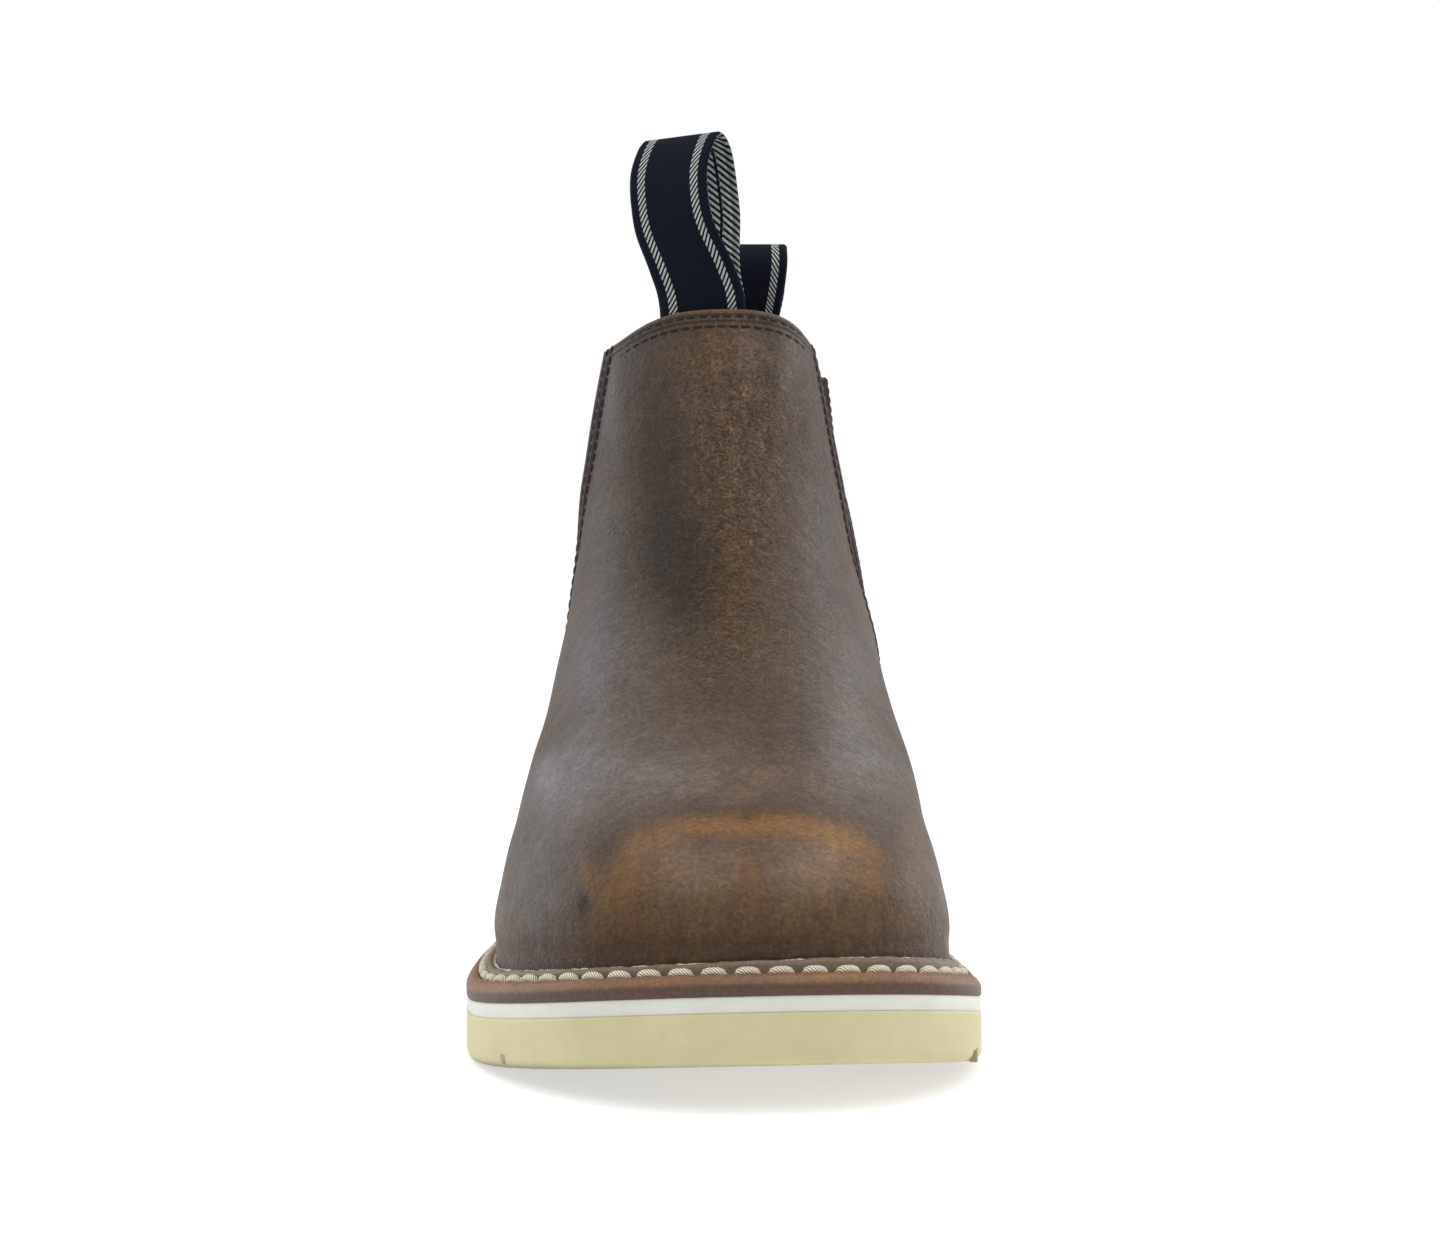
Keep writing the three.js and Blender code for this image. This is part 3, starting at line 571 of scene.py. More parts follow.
def gore_edge(z, bottom, side_of_gore, margin=0.0):
    """Side view of a gore's edge: how far back it lies at a height. It is a U with a round bottom.

    side_of_gore is -1 for its front edge and 1 for its back edge.
    """
    radius = GORE_HALF_BOTTOM + margin
    low = bottom - margin + radius
    top = BOOT_HEIGHT + COLLAR_DIP
    slope = (GORE_TOP_BACK - GORE_BOTTOM_BACK) / (BOOT_HEIGHT - bottom)
    top_back = GORE_BOTTOM_BACK + slope * (top - bottom) + side_of_gore * (GORE_HALF_TOP + margin)
    arc = GORE_BOTTOM_BACK + side_of_gore * np.sqrt(np.clip(radius**2 - (z - low) ** 2, 0, None))
    straight = mix(GORE_BOTTOM_BACK + side_of_gore * radius, top_back, (z - low) / (top - low))
    return np.where(z < low, arc, straight)


def seam_edge(z, bottom):
    """Side view of the side seam, from the sole to the bottom of the gore."""
    low = welt_top(SEAM_SOLE_BACK)
    return mix(SEAM_SOLE_BACK, GORE_BOTTOM_BACK, np.clip((z - low) / (bottom - low), 0, 1))


def edge_turn(level, side, side_of_gore, margin=0.0):
    """The turn, counted from the toe on one side, where a panel ends at each level, by bisection.

    Above the gore's round bottom the vamp's edge lies a little further forward, by GORE_LEAD.
    """
    bottom = GORE_BOTTOM[side]
    low = np.full(np.shape(level), 0.2 * np.pi)
    high = np.full(np.shape(level), 0.92 * np.pi)
    for _ in range(36):
        middle = (low + high) / 2
        point = upper_point(level, side * middle)
        z = point[..., 2]
        lead = (side_of_gore < 0) * GORE_LEAD * smooth((z - bottom) / GORE_LEAD_RISE)
        gore = gore_edge(z, bottom, side_of_gore, margin) - lead
        edge = np.where(z < bottom - margin, seam_edge(z, bottom), gore)
        before = point[..., 1] - TOE_Y < edge
        low, high = np.where(before, middle, low), np.where(before, high, middle)
    return (low + high) / 2


def panel_levels(count):
    """Levels from the sole to the collar, closer together where a gore's round bottom lies."""
    base = np.linspace(0, TOP_RING, count)
    fine = np.linspace(6, TOP_RING, 1200)
    extra = []
    for side, bottom in GORE_BOTTOM.items():
        z = upper_point(fine, side * edge_turn(fine, side, -1))[..., 2]
        rises = GORE_HALF_BOTTOM * (1 - np.cos(np.linspace(0, np.pi / 2, 11)))
        extra.append(np.interp(bottom + rises, z, fine))
    levels = np.unique(np.concatenate([base, *extra, TOP_RING - np.array([0.012, 0.03, 0.06, 0.1])]))
    keep = np.concatenate([[True], np.diff(levels) > 0.004])
    keep[-1] = True
    return levels[keep]


def edge_shares(count):
    """Shares from 0 to 1 that lie close together at both ends, for a rounded edge."""
    near = np.array([0, 0.0006, 0.0016, 0.003, 0.005, 0.008, 0.013])
    return np.concatenate([near, np.linspace(0.02, 0.98, count - 2 * len(near)), (1 - near)[::-1]])


def soft_marks(across, down, marks, name, toe=1.0):
    """A sum of soft round marks, each exp(-d ** 2) of the distance from its middle; low ones fade by toe."""
    total = np.zeros(across.shape)
    for row in range(len(marks["across"])):
        d2 = ((across - marks["across"][row]) / marks["wide"][row]) ** 2
        d2 = d2 + ((down - marks["down"][row]) / marks["high"][row]) ** 2
        total += marks[name][row] * np.exp(-d2) * (toe if marks["down"][row] > TOE_MARKS_FROM else 1.0)
    return total


def mark_fields(points):
    """Tone, glow, haze and flex of the vamp, from the marks and from the burnished band over the toe."""
    across, down = seen(points)
    toe = smooth((TOE_MARKS_END - (points[..., 1] - TOE_Y)) / TOE_MARKS_FADE)
    # Haze from the marks is painted sheen; tone holds painted highlights and shade besides the leather's own
    # patches.
    fields = {name: soft_marks(across, down, MARKS, name, toe) for name in ("tone", "glow", "haze")}
    fields["glow"] = np.maximum(fields["glow"], 0.0)
    fields["flex"] = soft_marks(across, down, FLEX, "amount")
    (middle_x, middle_y), (wide, high), power = TOE_BAND_MIDDLE, TOE_BAND_AXES, TOE_BAND_POWER
    aside, below = np.abs(across - middle_x) / wide, np.abs(down - middle_y) / high
    reach = (aside**power + below**power) ** (1 / power)
    fade = toe * smooth((middle_y + 30 - down) / 60) * mix(1.0, 0.55, smooth(aside))
    inner = np.where(reach < 0.9, 0.17, 0.1)
    fields["glow"] += 1.0 * fade * np.exp(-(((reach - 0.9) / inner) ** 2))
    fields["tone"] += 0.55 * fade * np.exp(-(((reach - 0.84) / 0.1) ** 2))
    fields["tone"] -= 0.35 * fade * np.exp(-(((reach - 1.02) / 0.07) ** 2))
    return fields


def crease_depth(points):
    """Soft troughs and ridges of the vamp, in millimetres inwards, placed in the shoe's own sizes.

    Each is a line in the front view with a Gaussian section: x and z of its two ends, width, depth.
    """
    lines = [
        (12.0, 168.0, 22.0, 152.0, 1.6, -0.35),
        (20.0, 160.0, 28.0, 120.0, 3.0, 0.25),
        (-20.0, 150.0, -18.0, 118.0, 4.0, 0.3),
        (-26.0, 66.0, 24.0, 67.0, 6.0, 0.35),
        (-30.0, 78.0, 18.0, 82.0, 5.0, 0.2),
        (-8.0, 98.0, 20.0, 94.0, 4.0, 0.2),
    ]
    depth = np.zeros(points.shape[:-1])
    x, z = points[..., 0], points[..., 2]
    for x1, z1, x2, z2, width, deep in lines:
        across, up = x2 - x1, z2 - z1
        along = np.clip(((x - x1) * across + (z - z1) * up) / (across**2 + up**2), 0, 1)
        off = np.hypot(x - mix(x1, x2, along), z - mix(z1, z2, along))
        fade = np.sin(np.pi * np.clip(along, 0.04, 0.96)) ** 0.5
        depth += deep * fade * np.exp(-((off / width) ** 2))
    return depth


def edge_flare(point, rim, front):
    """How far a panel stands out beside a gore: the whole vamp edge, and the quarter's inner top corner."""
    if front:
        return VAMP_FLARE * np.exp(-rim / 6) * smooth((point[..., 2] - 105) / 30)
    return QUARTER_FLARE * np.exp(-rim / 12) * smooth((point[..., 2] - 135) / 35) * (point[..., 0] > 0)


def leather_panel(name, start, stop, levels, columns, depth, material, marks):
    """One panel of leather between two turns at each level, with rounded edges and a lined inner side."""
    shares = edge_shares(columns)
    turns = mix(start[:, None], stop[:, None], shares[None, :])
    grid_levels = levels[:, None] + np.zeros_like(turns)
    point, inward = upper_frame(grid_levels, turns)
    across = arc_lengths(point)
    up = arc_lengths(point.transpose(1, 0, 2)).T
    side_rim = np.minimum(across, across[:, -1:] - across)
    rim = np.minimum(side_rim, up[-1:] - up)
    edge_round = 0.75
    drop = edge_round * (1 - np.sqrt(1 - (1 - np.clip(rim / edge_round, 0, 1)) ** 2))
    swell = 0.28 * np.exp(-(((rim - 2.7) / 1.1) ** 2))
    relief = (crease_depth(point) if marks else 0.0) - edge_flare(point, side_rim, marks)
    outer = point + inward * (depth + drop - swell + relief)[..., None]
    inner = point + inward * (WALL - 0.3 * (drop > 0.5))[..., None]
    fields = {"rim": (rim, rim), "inside": (np.zeros_like(rim), np.ones_like(rim))}
    plain = {name: np.zeros_like(rim) for name in ("tone", "glow", "haze", "flex")}
    fields.update({n: (v, v) for n, v in (mark_fields(point) if marks else plain).items()})
    fields["side"] = (side_rim, side_rim)
    points, quads, merged = closed_patch(outer, inner, fields)
    return make_piece(name, points, quads, material, merged)


def u_path(side, margin, count=240):
    """A line at a margin outside a gore, down its front edge, round its bottom and up its back edge."""
    levels = panel_levels(count)
    lines = []
    for side_of_gore in (-1, 1):
        turns = edge_turn(levels, side, side_of_gore, margin)
        point, inward = upper_frame(levels, side * turns)
        step = VAMP_STEP if side_of_gore > 0 else 0.0
        point = point + inward * (step - edge_flare(point, margin, side_of_gore < 0))[:, None]
        keep = point[:, 2] >= GORE_BOTTOM[side] - margin
        lines.append((point[keep], inward[keep]))
    point = np.concatenate([lines[0][0][::-1], lines[1][0]])
    inward = np.concatenate([lines[0][1][::-1], lines[1][1]])
    return point, inward


def seam_path(side, margin):
    """A line beside the side seam, on the vamp, from the welt up to the gore."""
    levels = np.linspace(1.4, 12, 300)
    turns = edge_turn(levels, side, -1)
    point, inward = upper_frame(levels, side * turns)
    rate = np.linalg.norm(upper_point(levels, side * (turns + 0.01)) - point, axis=1) / 0.01
    point, inward = upper_frame(levels, side * (turns - margin / rate))
    keep = point[:, 2] < GORE_BOTTOM[side] - 2.0
    return point[keep], inward[keep]


def collar_path(start, stop, margin):
    """A line at a margin under the collar, between two turns."""
    turns = np.linspace(start, stop, 300)
    top = np.full(turns.shape, float(TOP_RING))
    rate = np.linalg.norm(upper_point(top, turns) - upper_point(top - 0.05, turns), axis=1) / 0.05
    return upper_frame(top - margin / rate, turns)


def find_on_upper(back, height, side, depth):
    """Level and turn where the upper, at a depth, has a given side view, by Newton steps."""
    level = 6 + 8 * np.clip((height - 60) / 120, 0, 1)
    turn = np.arccos(np.clip(1 - 2 * (back - 150) / 145, -0.95, 0.95))
    for _ in range(9):
        here = upper_inside(level, side * turn, depth)
        by_level = (upper_inside(level + 0.02, side * turn, depth) - here) / 0.02
        by_turn = (upper_inside(level, side * (turn + 0.01), depth) - here) / 0.01
        gap_y, gap_z = back + TOE_Y - here[..., 1], height - here[..., 2]
        det = by_level[..., 1] * by_turn[..., 2] - by_level[..., 2] * by_turn[..., 1]
        det = np.where(np.abs(det) < 1e-6, 1e-6, det)
        level = level + np.clip((gap_y * by_turn[..., 2] - gap_z * by_turn[..., 1]) / det, -1, 1)
        turn = turn + np.clip((gap_z * by_level[..., 1] - gap_y * by_level[..., 2]) / det, -0.2, 0.2)
        level, turn = np.clip(level, 2, TOP_RING), np.clip(turn, 0.2, 3.0)
    return level, turn


# Materials


def add(tree, kind, inputs=None, **settings):
    """Adds a node, applies its settings and fills its inputs with values or other nodes' sockets."""
    made = tree.nodes.new("ShaderNode" + kind)
    for key, value in settings.items():
        setattr(made, key, value)
    for key, value in (inputs or {}).items():
        socket = made.inputs[key]
        if isinstance(value, bpy.types.NodeSocket):
            tree.links.new(value, socket)
        else:
            socket.default_value = value
    return made


def blend(tree, factor, a, b, how="MIX"):
    return add(tree, "Mix", {0: factor, 6: a, 7: b}, data_type="RGBA", blend_type=how).outputs[2]


def calc(tree, operation, a, b=0.0):
    return add(tree, "Math", {0: a, 1: b}, operation=operation).outputs[0]


def ranged(tree, value, low, high, to_low=0.0, to_high=1.0):
    names = {"Value": value, "From Min": low, "From Max": high, "To Min": to_low, "To Max": to_high}
    return add(tree, "MapRange", names, interpolation_type="SMOOTHSTEP").outputs[0]


def noise(tree, vector, scale, detail=3.0, rough=0.55, distortion=0.0):
    names = {"Vector": vector, "Scale": scale, "Detail": detail, "Roughness": rough, "Distortion": distortion}
    return add(tree, "TexNoise", names).outputs[0]


def field(tree, name):
    return add(tree, "Attribute", attribute_name=name).outputs["Fac"]


def group(name, inputs, outputs, build):
    """A shader node group with named inputs and outputs, built once."""
    if name in bpy.data.node_groups:
        return bpy.data.node_groups[name]
    tree = bpy.data.node_groups.new(name, "ShaderNodeTree")
    for socket, kind, value in inputs:
        made = tree.interface.new_socket(socket, in_out="INPUT", socket_type="NodeSocket" + kind)
        if value is not None:
            made.default_value = value
    for socket, kind in outputs:
        tree.interface.new_socket(socket, in_out="OUTPUT", socket_type="NodeSocket" + kind)
    entry = tree.nodes.new("NodeGroupInput")
    leave = tree.nodes.new("NodeGroupOutput")
    for socket, value in build(tree, entry.outputs).items():
        tree.links.new(value, leave.inputs[socket])
    return tree


def use(tree, made, inputs):
    """Places a node group in a material and fills its inputs."""
    placed = tree.nodes.new("ShaderNodeGroup")
    placed.node_tree = made
    for key, value in inputs.items():
        if isinstance(value, bpy.types.NodeSocket):
            tree.links.new(value, placed.inputs[key])
        else:
            placed.inputs[key].default_value = value
    return placed.outputs


def grain_group():
    """Leather grain: small rounded cells of two sizes with pores, as a height and a pore mask."""

    def build(tree, entry):
        warp = add(tree, "TexNoise", {"Vector": entry["Vector"], "Scale": 160.0, "Detail": 2.0})
        moved = add(tree, "VectorMath", {0: warp.outputs["Color"], 3: 0.004}, operation="SCALE")
        place = add(tree, "VectorMath", {0: entry["Vector"], 1: moved.outputs[0]}, operation="ADD").outputs[0]
        cells = add(tree, "TexVoronoi", {"Vector": place, "Scale": entry["Scale"]}, feature="SMOOTH_F1")
        small_scale = calc(tree, "MULTIPLY", entry["Scale"], 2.3)
        small = add(tree, "TexVoronoi", {"Vector": place, "Scale": small_scale}, feature="F1")
        body = calc(tree, "ADD", cells.outputs[0], calc(tree, "MULTIPLY", small.outputs[0], 0.5))
        height = calc(tree, "SUBTRACT", 1.0, body)
        return {"Height": height, "Pores": ranged(tree, body, 0.75, 1.05)}

    inputs = [("Vector", "Vector", None), ("Scale", "Float", 700.0)]
    return group("Grain", inputs, [("Height", "Float"), ("Pores", "Float")], build)


def twill_group():
    """Twill weave: slanted ribs from a length across and a length along, in millimetres."""

    def build(tree, entry):
        slant = calc(tree, "ADD", entry["Across"], calc(tree, "MULTIPLY", entry["Along"], entry["Slope"]))
        turns = calc(tree, "DIVIDE", slant, entry["Pitch"])
        wave = calc(tree, "SINE", calc(tree, "MULTIPLY", turns, 2 * math.pi))
        threads = calc(tree, "SINE", calc(tree, "MULTIPLY", entry["Across"], 2 * math.pi / 0.42))
        rib = calc(tree, "ADD", calc(tree, "MULTIPLY", wave, 0.5), 0.5)
        height = calc(tree, "ADD", rib, calc(tree, "MULTIPLY", threads, 0.14))
        return {"Height": height, "Rib": rib}

    lengths = (("Across", 0.0), ("Along", 0.0), ("Slope", 0.8), ("Pitch", 0.9))
    inputs = [(name, "Float", value) for name, value in lengths]
    return group("Twill", inputs, [("Height", "Float"), ("Rib", "Float")], build)


def dust_group():
    """Soft uneven dirt: a mask of two noises, stronger where their product is high."""

    def build(tree, entry):
        wide = noise(tree, entry["Vector"], entry["Scale"], 4.0)
        fine = noise(tree, entry["Vector"], calc(tree, "MULTIPLY", entry["Scale"], 7.0), 3.0)
        both = calc(tree, "MULTIPLY", wide, calc(tree, "ADD", fine, 0.5))
        return {"Mask": ranged(tree, both, 0.42, 0.78)}

    inputs = [("Vector", "Vector", None), ("Scale", "Float", 40.0)]
    return group("Dust", inputs, [("Mask", "Float")], build)


def new_material(name, roughness, **sockets):
    """A material with its Principled shader's constants set on its own sockets."""
    material = bpy.data.materials.new(name)
    material.use_nodes = True
    tree = material.node_tree
    shader = tree.nodes["Principled BSDF"]
    shader.inputs["Roughness"].default_value = roughness
    for key, value in sockets.items():
        shader.inputs[key.replace("_", " ").title().replace("Ior", "IOR")].default_value = value
    return material, tree, shader


def finish_bump(tree, shader, height, distance, strength=1.0, before=None):
    names = {"Height": height, "Distance": distance, "Strength": strength}
    if before:
        names["Normal"] = before
    made = add(tree, "Bump", names).outputs[0]
    tree.links.new(made, shader.inputs["Normal"])
    return made


def shaded(tree, colour, shade):
    """A colour times a grey that follows a value."""
    grey = add(tree, "CombineColor", {0: shade, 1: shade, 2: shade}).outputs[0]
    return blend(tree, 1.0, colour, grey, "MULTIPLY")


def cracks_group():
    """Cracked grain: the edges between warped cells as thin lines, and slanting fine wrinkles."""

    def build(tree, entry):
        warp = add(tree, "TexNoise", {"Vector": entry["Vector"], "Scale": 260.0, "Detail": 3.0})
        moved = add(tree, "VectorMath", {0: warp.outputs["Color"], 3: 0.0025}, operation="SCALE")
        place = add(tree, "VectorMath", {0: entry["Vector"], 1: moved.outputs[0]}, operation="ADD").outputs[0]
        tall = add(tree, "Mapping", {"Vector": place, "Scale": (1.0, 1.0, 0.5)}).outputs[0]
        wide = add(tree, "Mapping", {"Vector": place, "Scale": (0.55, 1.0, 1.3)}).outputs[0]
        first = add(tree, "TexVoronoi", {"Vector": tall, "Scale": 470.0}, feature="DISTANCE_TO_EDGE")
        second = add(tree, "TexVoronoi", {"Vector": wide, "Scale": 640.0}, feature="DISTANCE_TO_EDGE")
        gate = noise(tree, entry["Vector"], 110.0, 3.0)
        one = ranged(tree, first.outputs[0], 0.0, 0.08, 1.0, 0.0)
        one = calc(tree, "MULTIPLY", one, ranged(tree, gate, 0.4, 0.6))
        other = calc(tree, "MULTIPLY", ranged(tree, second.outputs[0], 0.0, 0.09, 1.0, 0.0), 0.6)
        return {"Lines": calc(tree, "MAXIMUM", one, other)}

    return group("Cracks", [("Vector", "Vector", None)], [("Lines", "Float")], build)


def leather_material(colours):
    """Oiled pull-up leather: brown with dark and orange-brown clouds, grain and cracks, and painted sheen,
    highlights and shade.
    """
    material, tree, shader = new_material(
        "Oiled leather", 0.5, specular_ior_level=0.2,
    )
    place = add(tree, "TexCoord").outputs["Object"]
    clouds = noise(tree, place, 30.0, 4.0, 0.6, 0.6)
    mottle = noise(tree, place, 150.0, 5.0, 0.65, 0.3)
    speckle = noise(tree, place, 1000.0, 3.0, 0.75)
    tall = add(tree, "Mapping", {"Vector": place, "Scale": (1.0, 1.0, 0.3)}).outputs[0]
    streaks = noise(tree, tall, 340.0, 4.0, 0.7)
    colour = blend(tree, ranged(tree, clouds, 0.36, 0.66, 0.0, 0.75), colours.leather, colours.leather_dark)
    pale = calc(tree, "MULTIPLY", ranged(tree, mottle, 0.4, 0.7), 0.4)
    colour = blend(tree, pale, colour, colours.leather_light)
    glow = calc(tree, "MULTIPLY", field(tree, "glow"), ranged(tree, mottle, 0.25, 0.6, 0.5, 1.0))
    colour = blend(tree, calc(tree, "MINIMUM", glow, 0.85), colour, colours.leather_glow)
    # Painted sheen: grey blended in where the haze marks lie, standing for light reflected at the sides.
    haze = calc(tree, "MULTIPLY", field(tree, "haze"), ranged(tree, mottle, 0.3, 0.65, 0.6, 1.0))
    colour = blend(tree, calc(tree, "MINIMUM", haze, 0.75), colour, colours.leather_sheen)
    cracks = use(tree, cracks_group(), {"Vector": place})["Lines"]
    flex = calc(tree, "ADD", calc(tree, "MULTIPLY", field(tree, "flex"), 0.9), 0.1)
    cracked = calc(tree, "MULTIPLY", cracks, calc(tree, "MINIMUM", flex, 1.0))
    colour = blend(tree, calc(tree, "MULTIPLY", cracked, 0.9), colour, colours.leather_crack)
    # Tone: painted highlights on the lower vamp and toe, painted shade down the shaft and along the toe's
    # bottom.
    tone = calc(tree, "ADD", 1.0, calc(tree, "MULTIPLY", field(tree, "tone"), 0.6))
    tone = calc(tree, "MAXIMUM", tone, 0.25)
    speck = ranged(tree, speckle, 0.3, 0.7, 0.6, 1.42)
    speck = calc(tree, "MULTIPLY", speck, ranged(tree, streaks, 0.3, 0.7, 0.78, 1.22))
    amount = calc(tree, "ADD", 0.6, calc(tree, "MULTIPLY", field(tree, "flex"), 0.9))
    speck = calc(tree, "ADD", 1.0, calc(tree, "MULTIPLY", calc(tree, "SUBTRACT", speck, 1.0), amount))
    colour = shaded(tree, colour, calc(tree, "MULTIPLY", tone, speck))
    side, rim = field(tree, "side"), field(tree, "rim")
    border = ranged(tree, side, 4.8, 6.0, 1.0, 0.0)
    colour = blend(tree, calc(tree, "MULTIPLY", border, 0.9), colour, colours.leather_border)
    # Painted shade: the colour is darkened by up to half in the pressed-in channels along the seam rows.
    from_rows = [calc(tree, "ABSOLUTE", calc(tree, "SUBTRACT", rim, row)) for row in SEAM_ROWS]
    channel = ranged(tree, calc(tree, "MINIMUM", *from_rows), 0.1, 0.65, 1.0, 0.0)
    colour = shaded(tree, colour, ranged(tree, channel, 0.0, 1.0, 1.0, 0.5))
    fluff = noise(tree, place, 1500.0, 2.0)
    edge = calc(tree, "MULTIPLY", ranged(tree, rim, 0.4, 1.3, 1.0, 0.0), ranged(tree, side, 1.5, 4.0))
    edge = calc(tree, "MULTIPLY", edge, ranged(tree, fluff, 0.35, 0.65, 0.35, 0.95))
    colour = blend(tree, edge, colour, colours.leather_edge)
    lining = blend(tree, mottle, rgb(76, 60, 46), rgb(104, 84, 66))
    colour = blend(tree, field(tree, "inside"), colour, lining)
    tree.links.new(colour, shader.inputs["Base Color"])
    grain = use(tree, grain_group(), {"Vector": place, "Scale": 850.0})
    rough = ranged(tree, mottle, 0.3, 0.7, 0.42, 0.58)
    rough = calc(tree, "ADD", rough, calc(tree, "MULTIPLY", cracked, 0.12))
    rough = calc(tree, "ADD", rough, calc(tree, "MULTIPLY", grain["Pores"], 0.1))
    tree.links.new(rough, shader.inputs["Roughness"])
    wrinkle_place = add(tree, "Mapping", {"Vector": place, "Scale": (0.6, 1.0, 1.5)}).outputs[0]
    wrinkles = noise(tree, wrinkle_place, 420.0, 5.0, 0.7, 1.2)
    folded = calc(tree, "ADD", 1.4, calc(tree, "MULTIPLY", field(tree, "flex"), 3.2))
    height = calc(tree, "ADD", grain["Height"], calc(tree, "MULTIPLY", wrinkles, folded))
    height = calc(tree, "ADD", height, calc(tree, "MULTIPLY", cracked, 2.0))
    height = calc(tree, "SUBTRACT", height, calc(tree, "MULTIPLY", channel, 2.0))
    fine = finish_bump(tree, shader, height, 0.0002, 0.9)
    finish_bump(tree, shader, mottle, 0.0007, 0.4, fine)
    return material


def welt_material(colours):
    """Waxed welt: warmer on the bevel, with fine lengthwise grain and a worn lighter rib."""
    material, tree, shader = new_material("Waxed welt", 0.5, specular_ior_level=0.3)
    place = add(tree, "TexCoord").outputs["Object"]
    mottle = noise(tree, place, 130.0, 4.0, 0.6)
    fine = noise(tree, place, 1100.0, 3.0, 0.7)
    colour = blend(tree, ranged(tree, mottle, 0.3, 0.7), colours.welt, colours.welt_light)
    # The edge colour darkens the welt's side and, at half strength, the floor of its groove: painted shade
    # there.
    colour = blend(tree, calc(tree, "MULTIPLY", field(tree, "edge"), 0.9), colour, colours.welt_edge)
    colour = blend(tree, calc(tree, "MULTIPLY", field(tree, "rib"), 0.9), colour, colours.welt_rib)
    colour = shaded(tree, colour, ranged(tree, fine, 0.3, 0.7, 0.8, 1.16))
    tree.links.new(colour, shader.inputs["Base Color"])
    grain = use(tree, grain_group(), {"Vector": place, "Scale": 1100.0})
    finish_bump(tree, shader, calc(tree, "ADD", grain["Height"], fine), 0.0001, 0.5)
    return material


def foam_material(name, colour, dirt_and_shade, bump):
    """Matt foam or blown rubber: faint clouds, fine pits, a little dirt, and painted shade where a vertex
    attribute asks for it.
    """
    material, tree, shader = new_material(name, 0.62, specular_ior_level=0.35)
    place = add(tree, "TexCoord").outputs["Object"]
    clouds = noise(tree, place, 60.0, 4.0, 0.6)
    pits = noise(tree, place, 1600.0, 3.0, 0.6)
    made = blend(tree, ranged(tree, clouds, 0.3, 0.7, 0.0, 0.35), colour, dirt_and_shade)
    dust = use(tree, dust_group(), {"Vector": place, "Scale": 45.0})["Mask"]
    made = blend(tree, calc(tree, "MULTIPLY", dust, 0.3), made, dirt_and_shade)
    # Painted shade: a dark olive laid in by the vertex attribute, along the wedge's bottom edge and on the
    # nubs.
    made = blend(tree, field(tree, "dirt_and_shade"), made, rgb(96, 88, 62))
    tree.links.new(made, shader.inputs["Base Color"])
    finish_bump(tree, shader, pits, bump, 0.6)
    return material


def thread_material(name, colour, dark):
    """Twisted thread: fine slanted plies along the stitch."""
    material, tree, shader = new_material(name, 0.75, specular_ior_level=0.3)
    turn = calc(tree, "MULTIPLY", field(tree, "twist"), 2 * math.pi / 0.7)
    ply = calc(tree, "ADD", calc(tree, "MULTIPLY", calc(tree, "SINE", turn), 0.5), 0.5)
    tree.links.new(blend(tree, ranged(tree, ply, 0.0, 0.6), dark, colour), shader.inputs["Base Color"])
    finish_bump(tree, shader, ply, 0.00012, 0.8)
    return material


def webbing_material(colours):
    """Navy twill tape with two pale ribbed stripes and bare fields between them."""
    material, tree, shader = new_material("Striped webbing", 0.85, specular_ior_level=0.1)
    across, along = field(tree, "across"), field(tree, "along")
    twill = use(tree, twill_group(), {"Across": across, "Along": along, "Slope": 0.55, "Pitch": 0.95})
    centre = calc(tree, "ABSOLUTE", across)
    stripe = ranged(tree, centre, 7.15, 7.4)
    stripe = calc(tree, "MULTIPLY", stripe, ranged(tree, centre, 9.6, 9.85, 1.0, 0.0))
    line = calc(tree, "MULTIPLY", ranged(tree, centre, 6.3, 6.5), ranged(tree, centre, 7.3, 7.5, 1.0, 0.0))
    floats = calc(tree, "SUBTRACT", 1.0, line)
    floats = calc(tree, "MULTIPLY", floats, ranged(tree, centre, 10.2, 10.5, 1.0, 0.55))
    floats = calc(tree, "MULTIPLY", floats, field(tree, "inside"))
    bold = use(tree, twill_group(), {"Across": across, "Along": along, "Slope": -0.75, "Pitch": 1.25})
    back = use(tree, twill_group(), {"Across": across, "Along": along, "Slope": -1.1, "Pitch": 2.4})
    base = blend(tree, twill["Rib"], rgb(5, 8, 14), colours.webbing)
    pale = blend(tree, ranged(tree, bold["Rib"], 0.35, 0.65), rgb(14, 18, 26), colours.stripe)
    worn = blend(tree, ranged(tree, back["Rib"], 0.4, 0.6), rgb(14, 18, 26), colours.stripe)
    colour = blend(tree, stripe, base, pale)
    tree.links.new(blend(tree, floats, colour, worn), shader.inputs["Base Color"])
    height = calc(tree, "ADD", twill["Height"], calc(tree, "MULTIPLY", stripe, bold["Height"]))
    finish_bump(tree, shader, height, 0.00022, 0.8)
    return material


def elastic_material(colours):
    """Ribbed elastic: dark cords with paler crowns, and painted shade darkening the gaps between them."""
    material, tree, shader = new_material("Ribbed elastic", 0.85, specular_ior_level=0.25, sheen_weight=0.2)
    place = add(tree, "TexCoord").outputs["Object"]
    fibre = noise(tree, place, 2200.0, 2.0)
    crown = field(tree, "crown")
    # Painted shade: the gaps between the cords go nearly black.
    colour = blend(tree, crown, rgb(16, 12, 11), colours.elastic)
    colour = blend(tree, ranged(tree, fibre, 0.4, 0.75, 0.0, 0.3), colour, rgb(78, 62, 54))
    tree.links.new(colour, shader.inputs["Base Color"])
    finish_bump(tree, shader, fibre, 0.0001, 0.6)
    return material


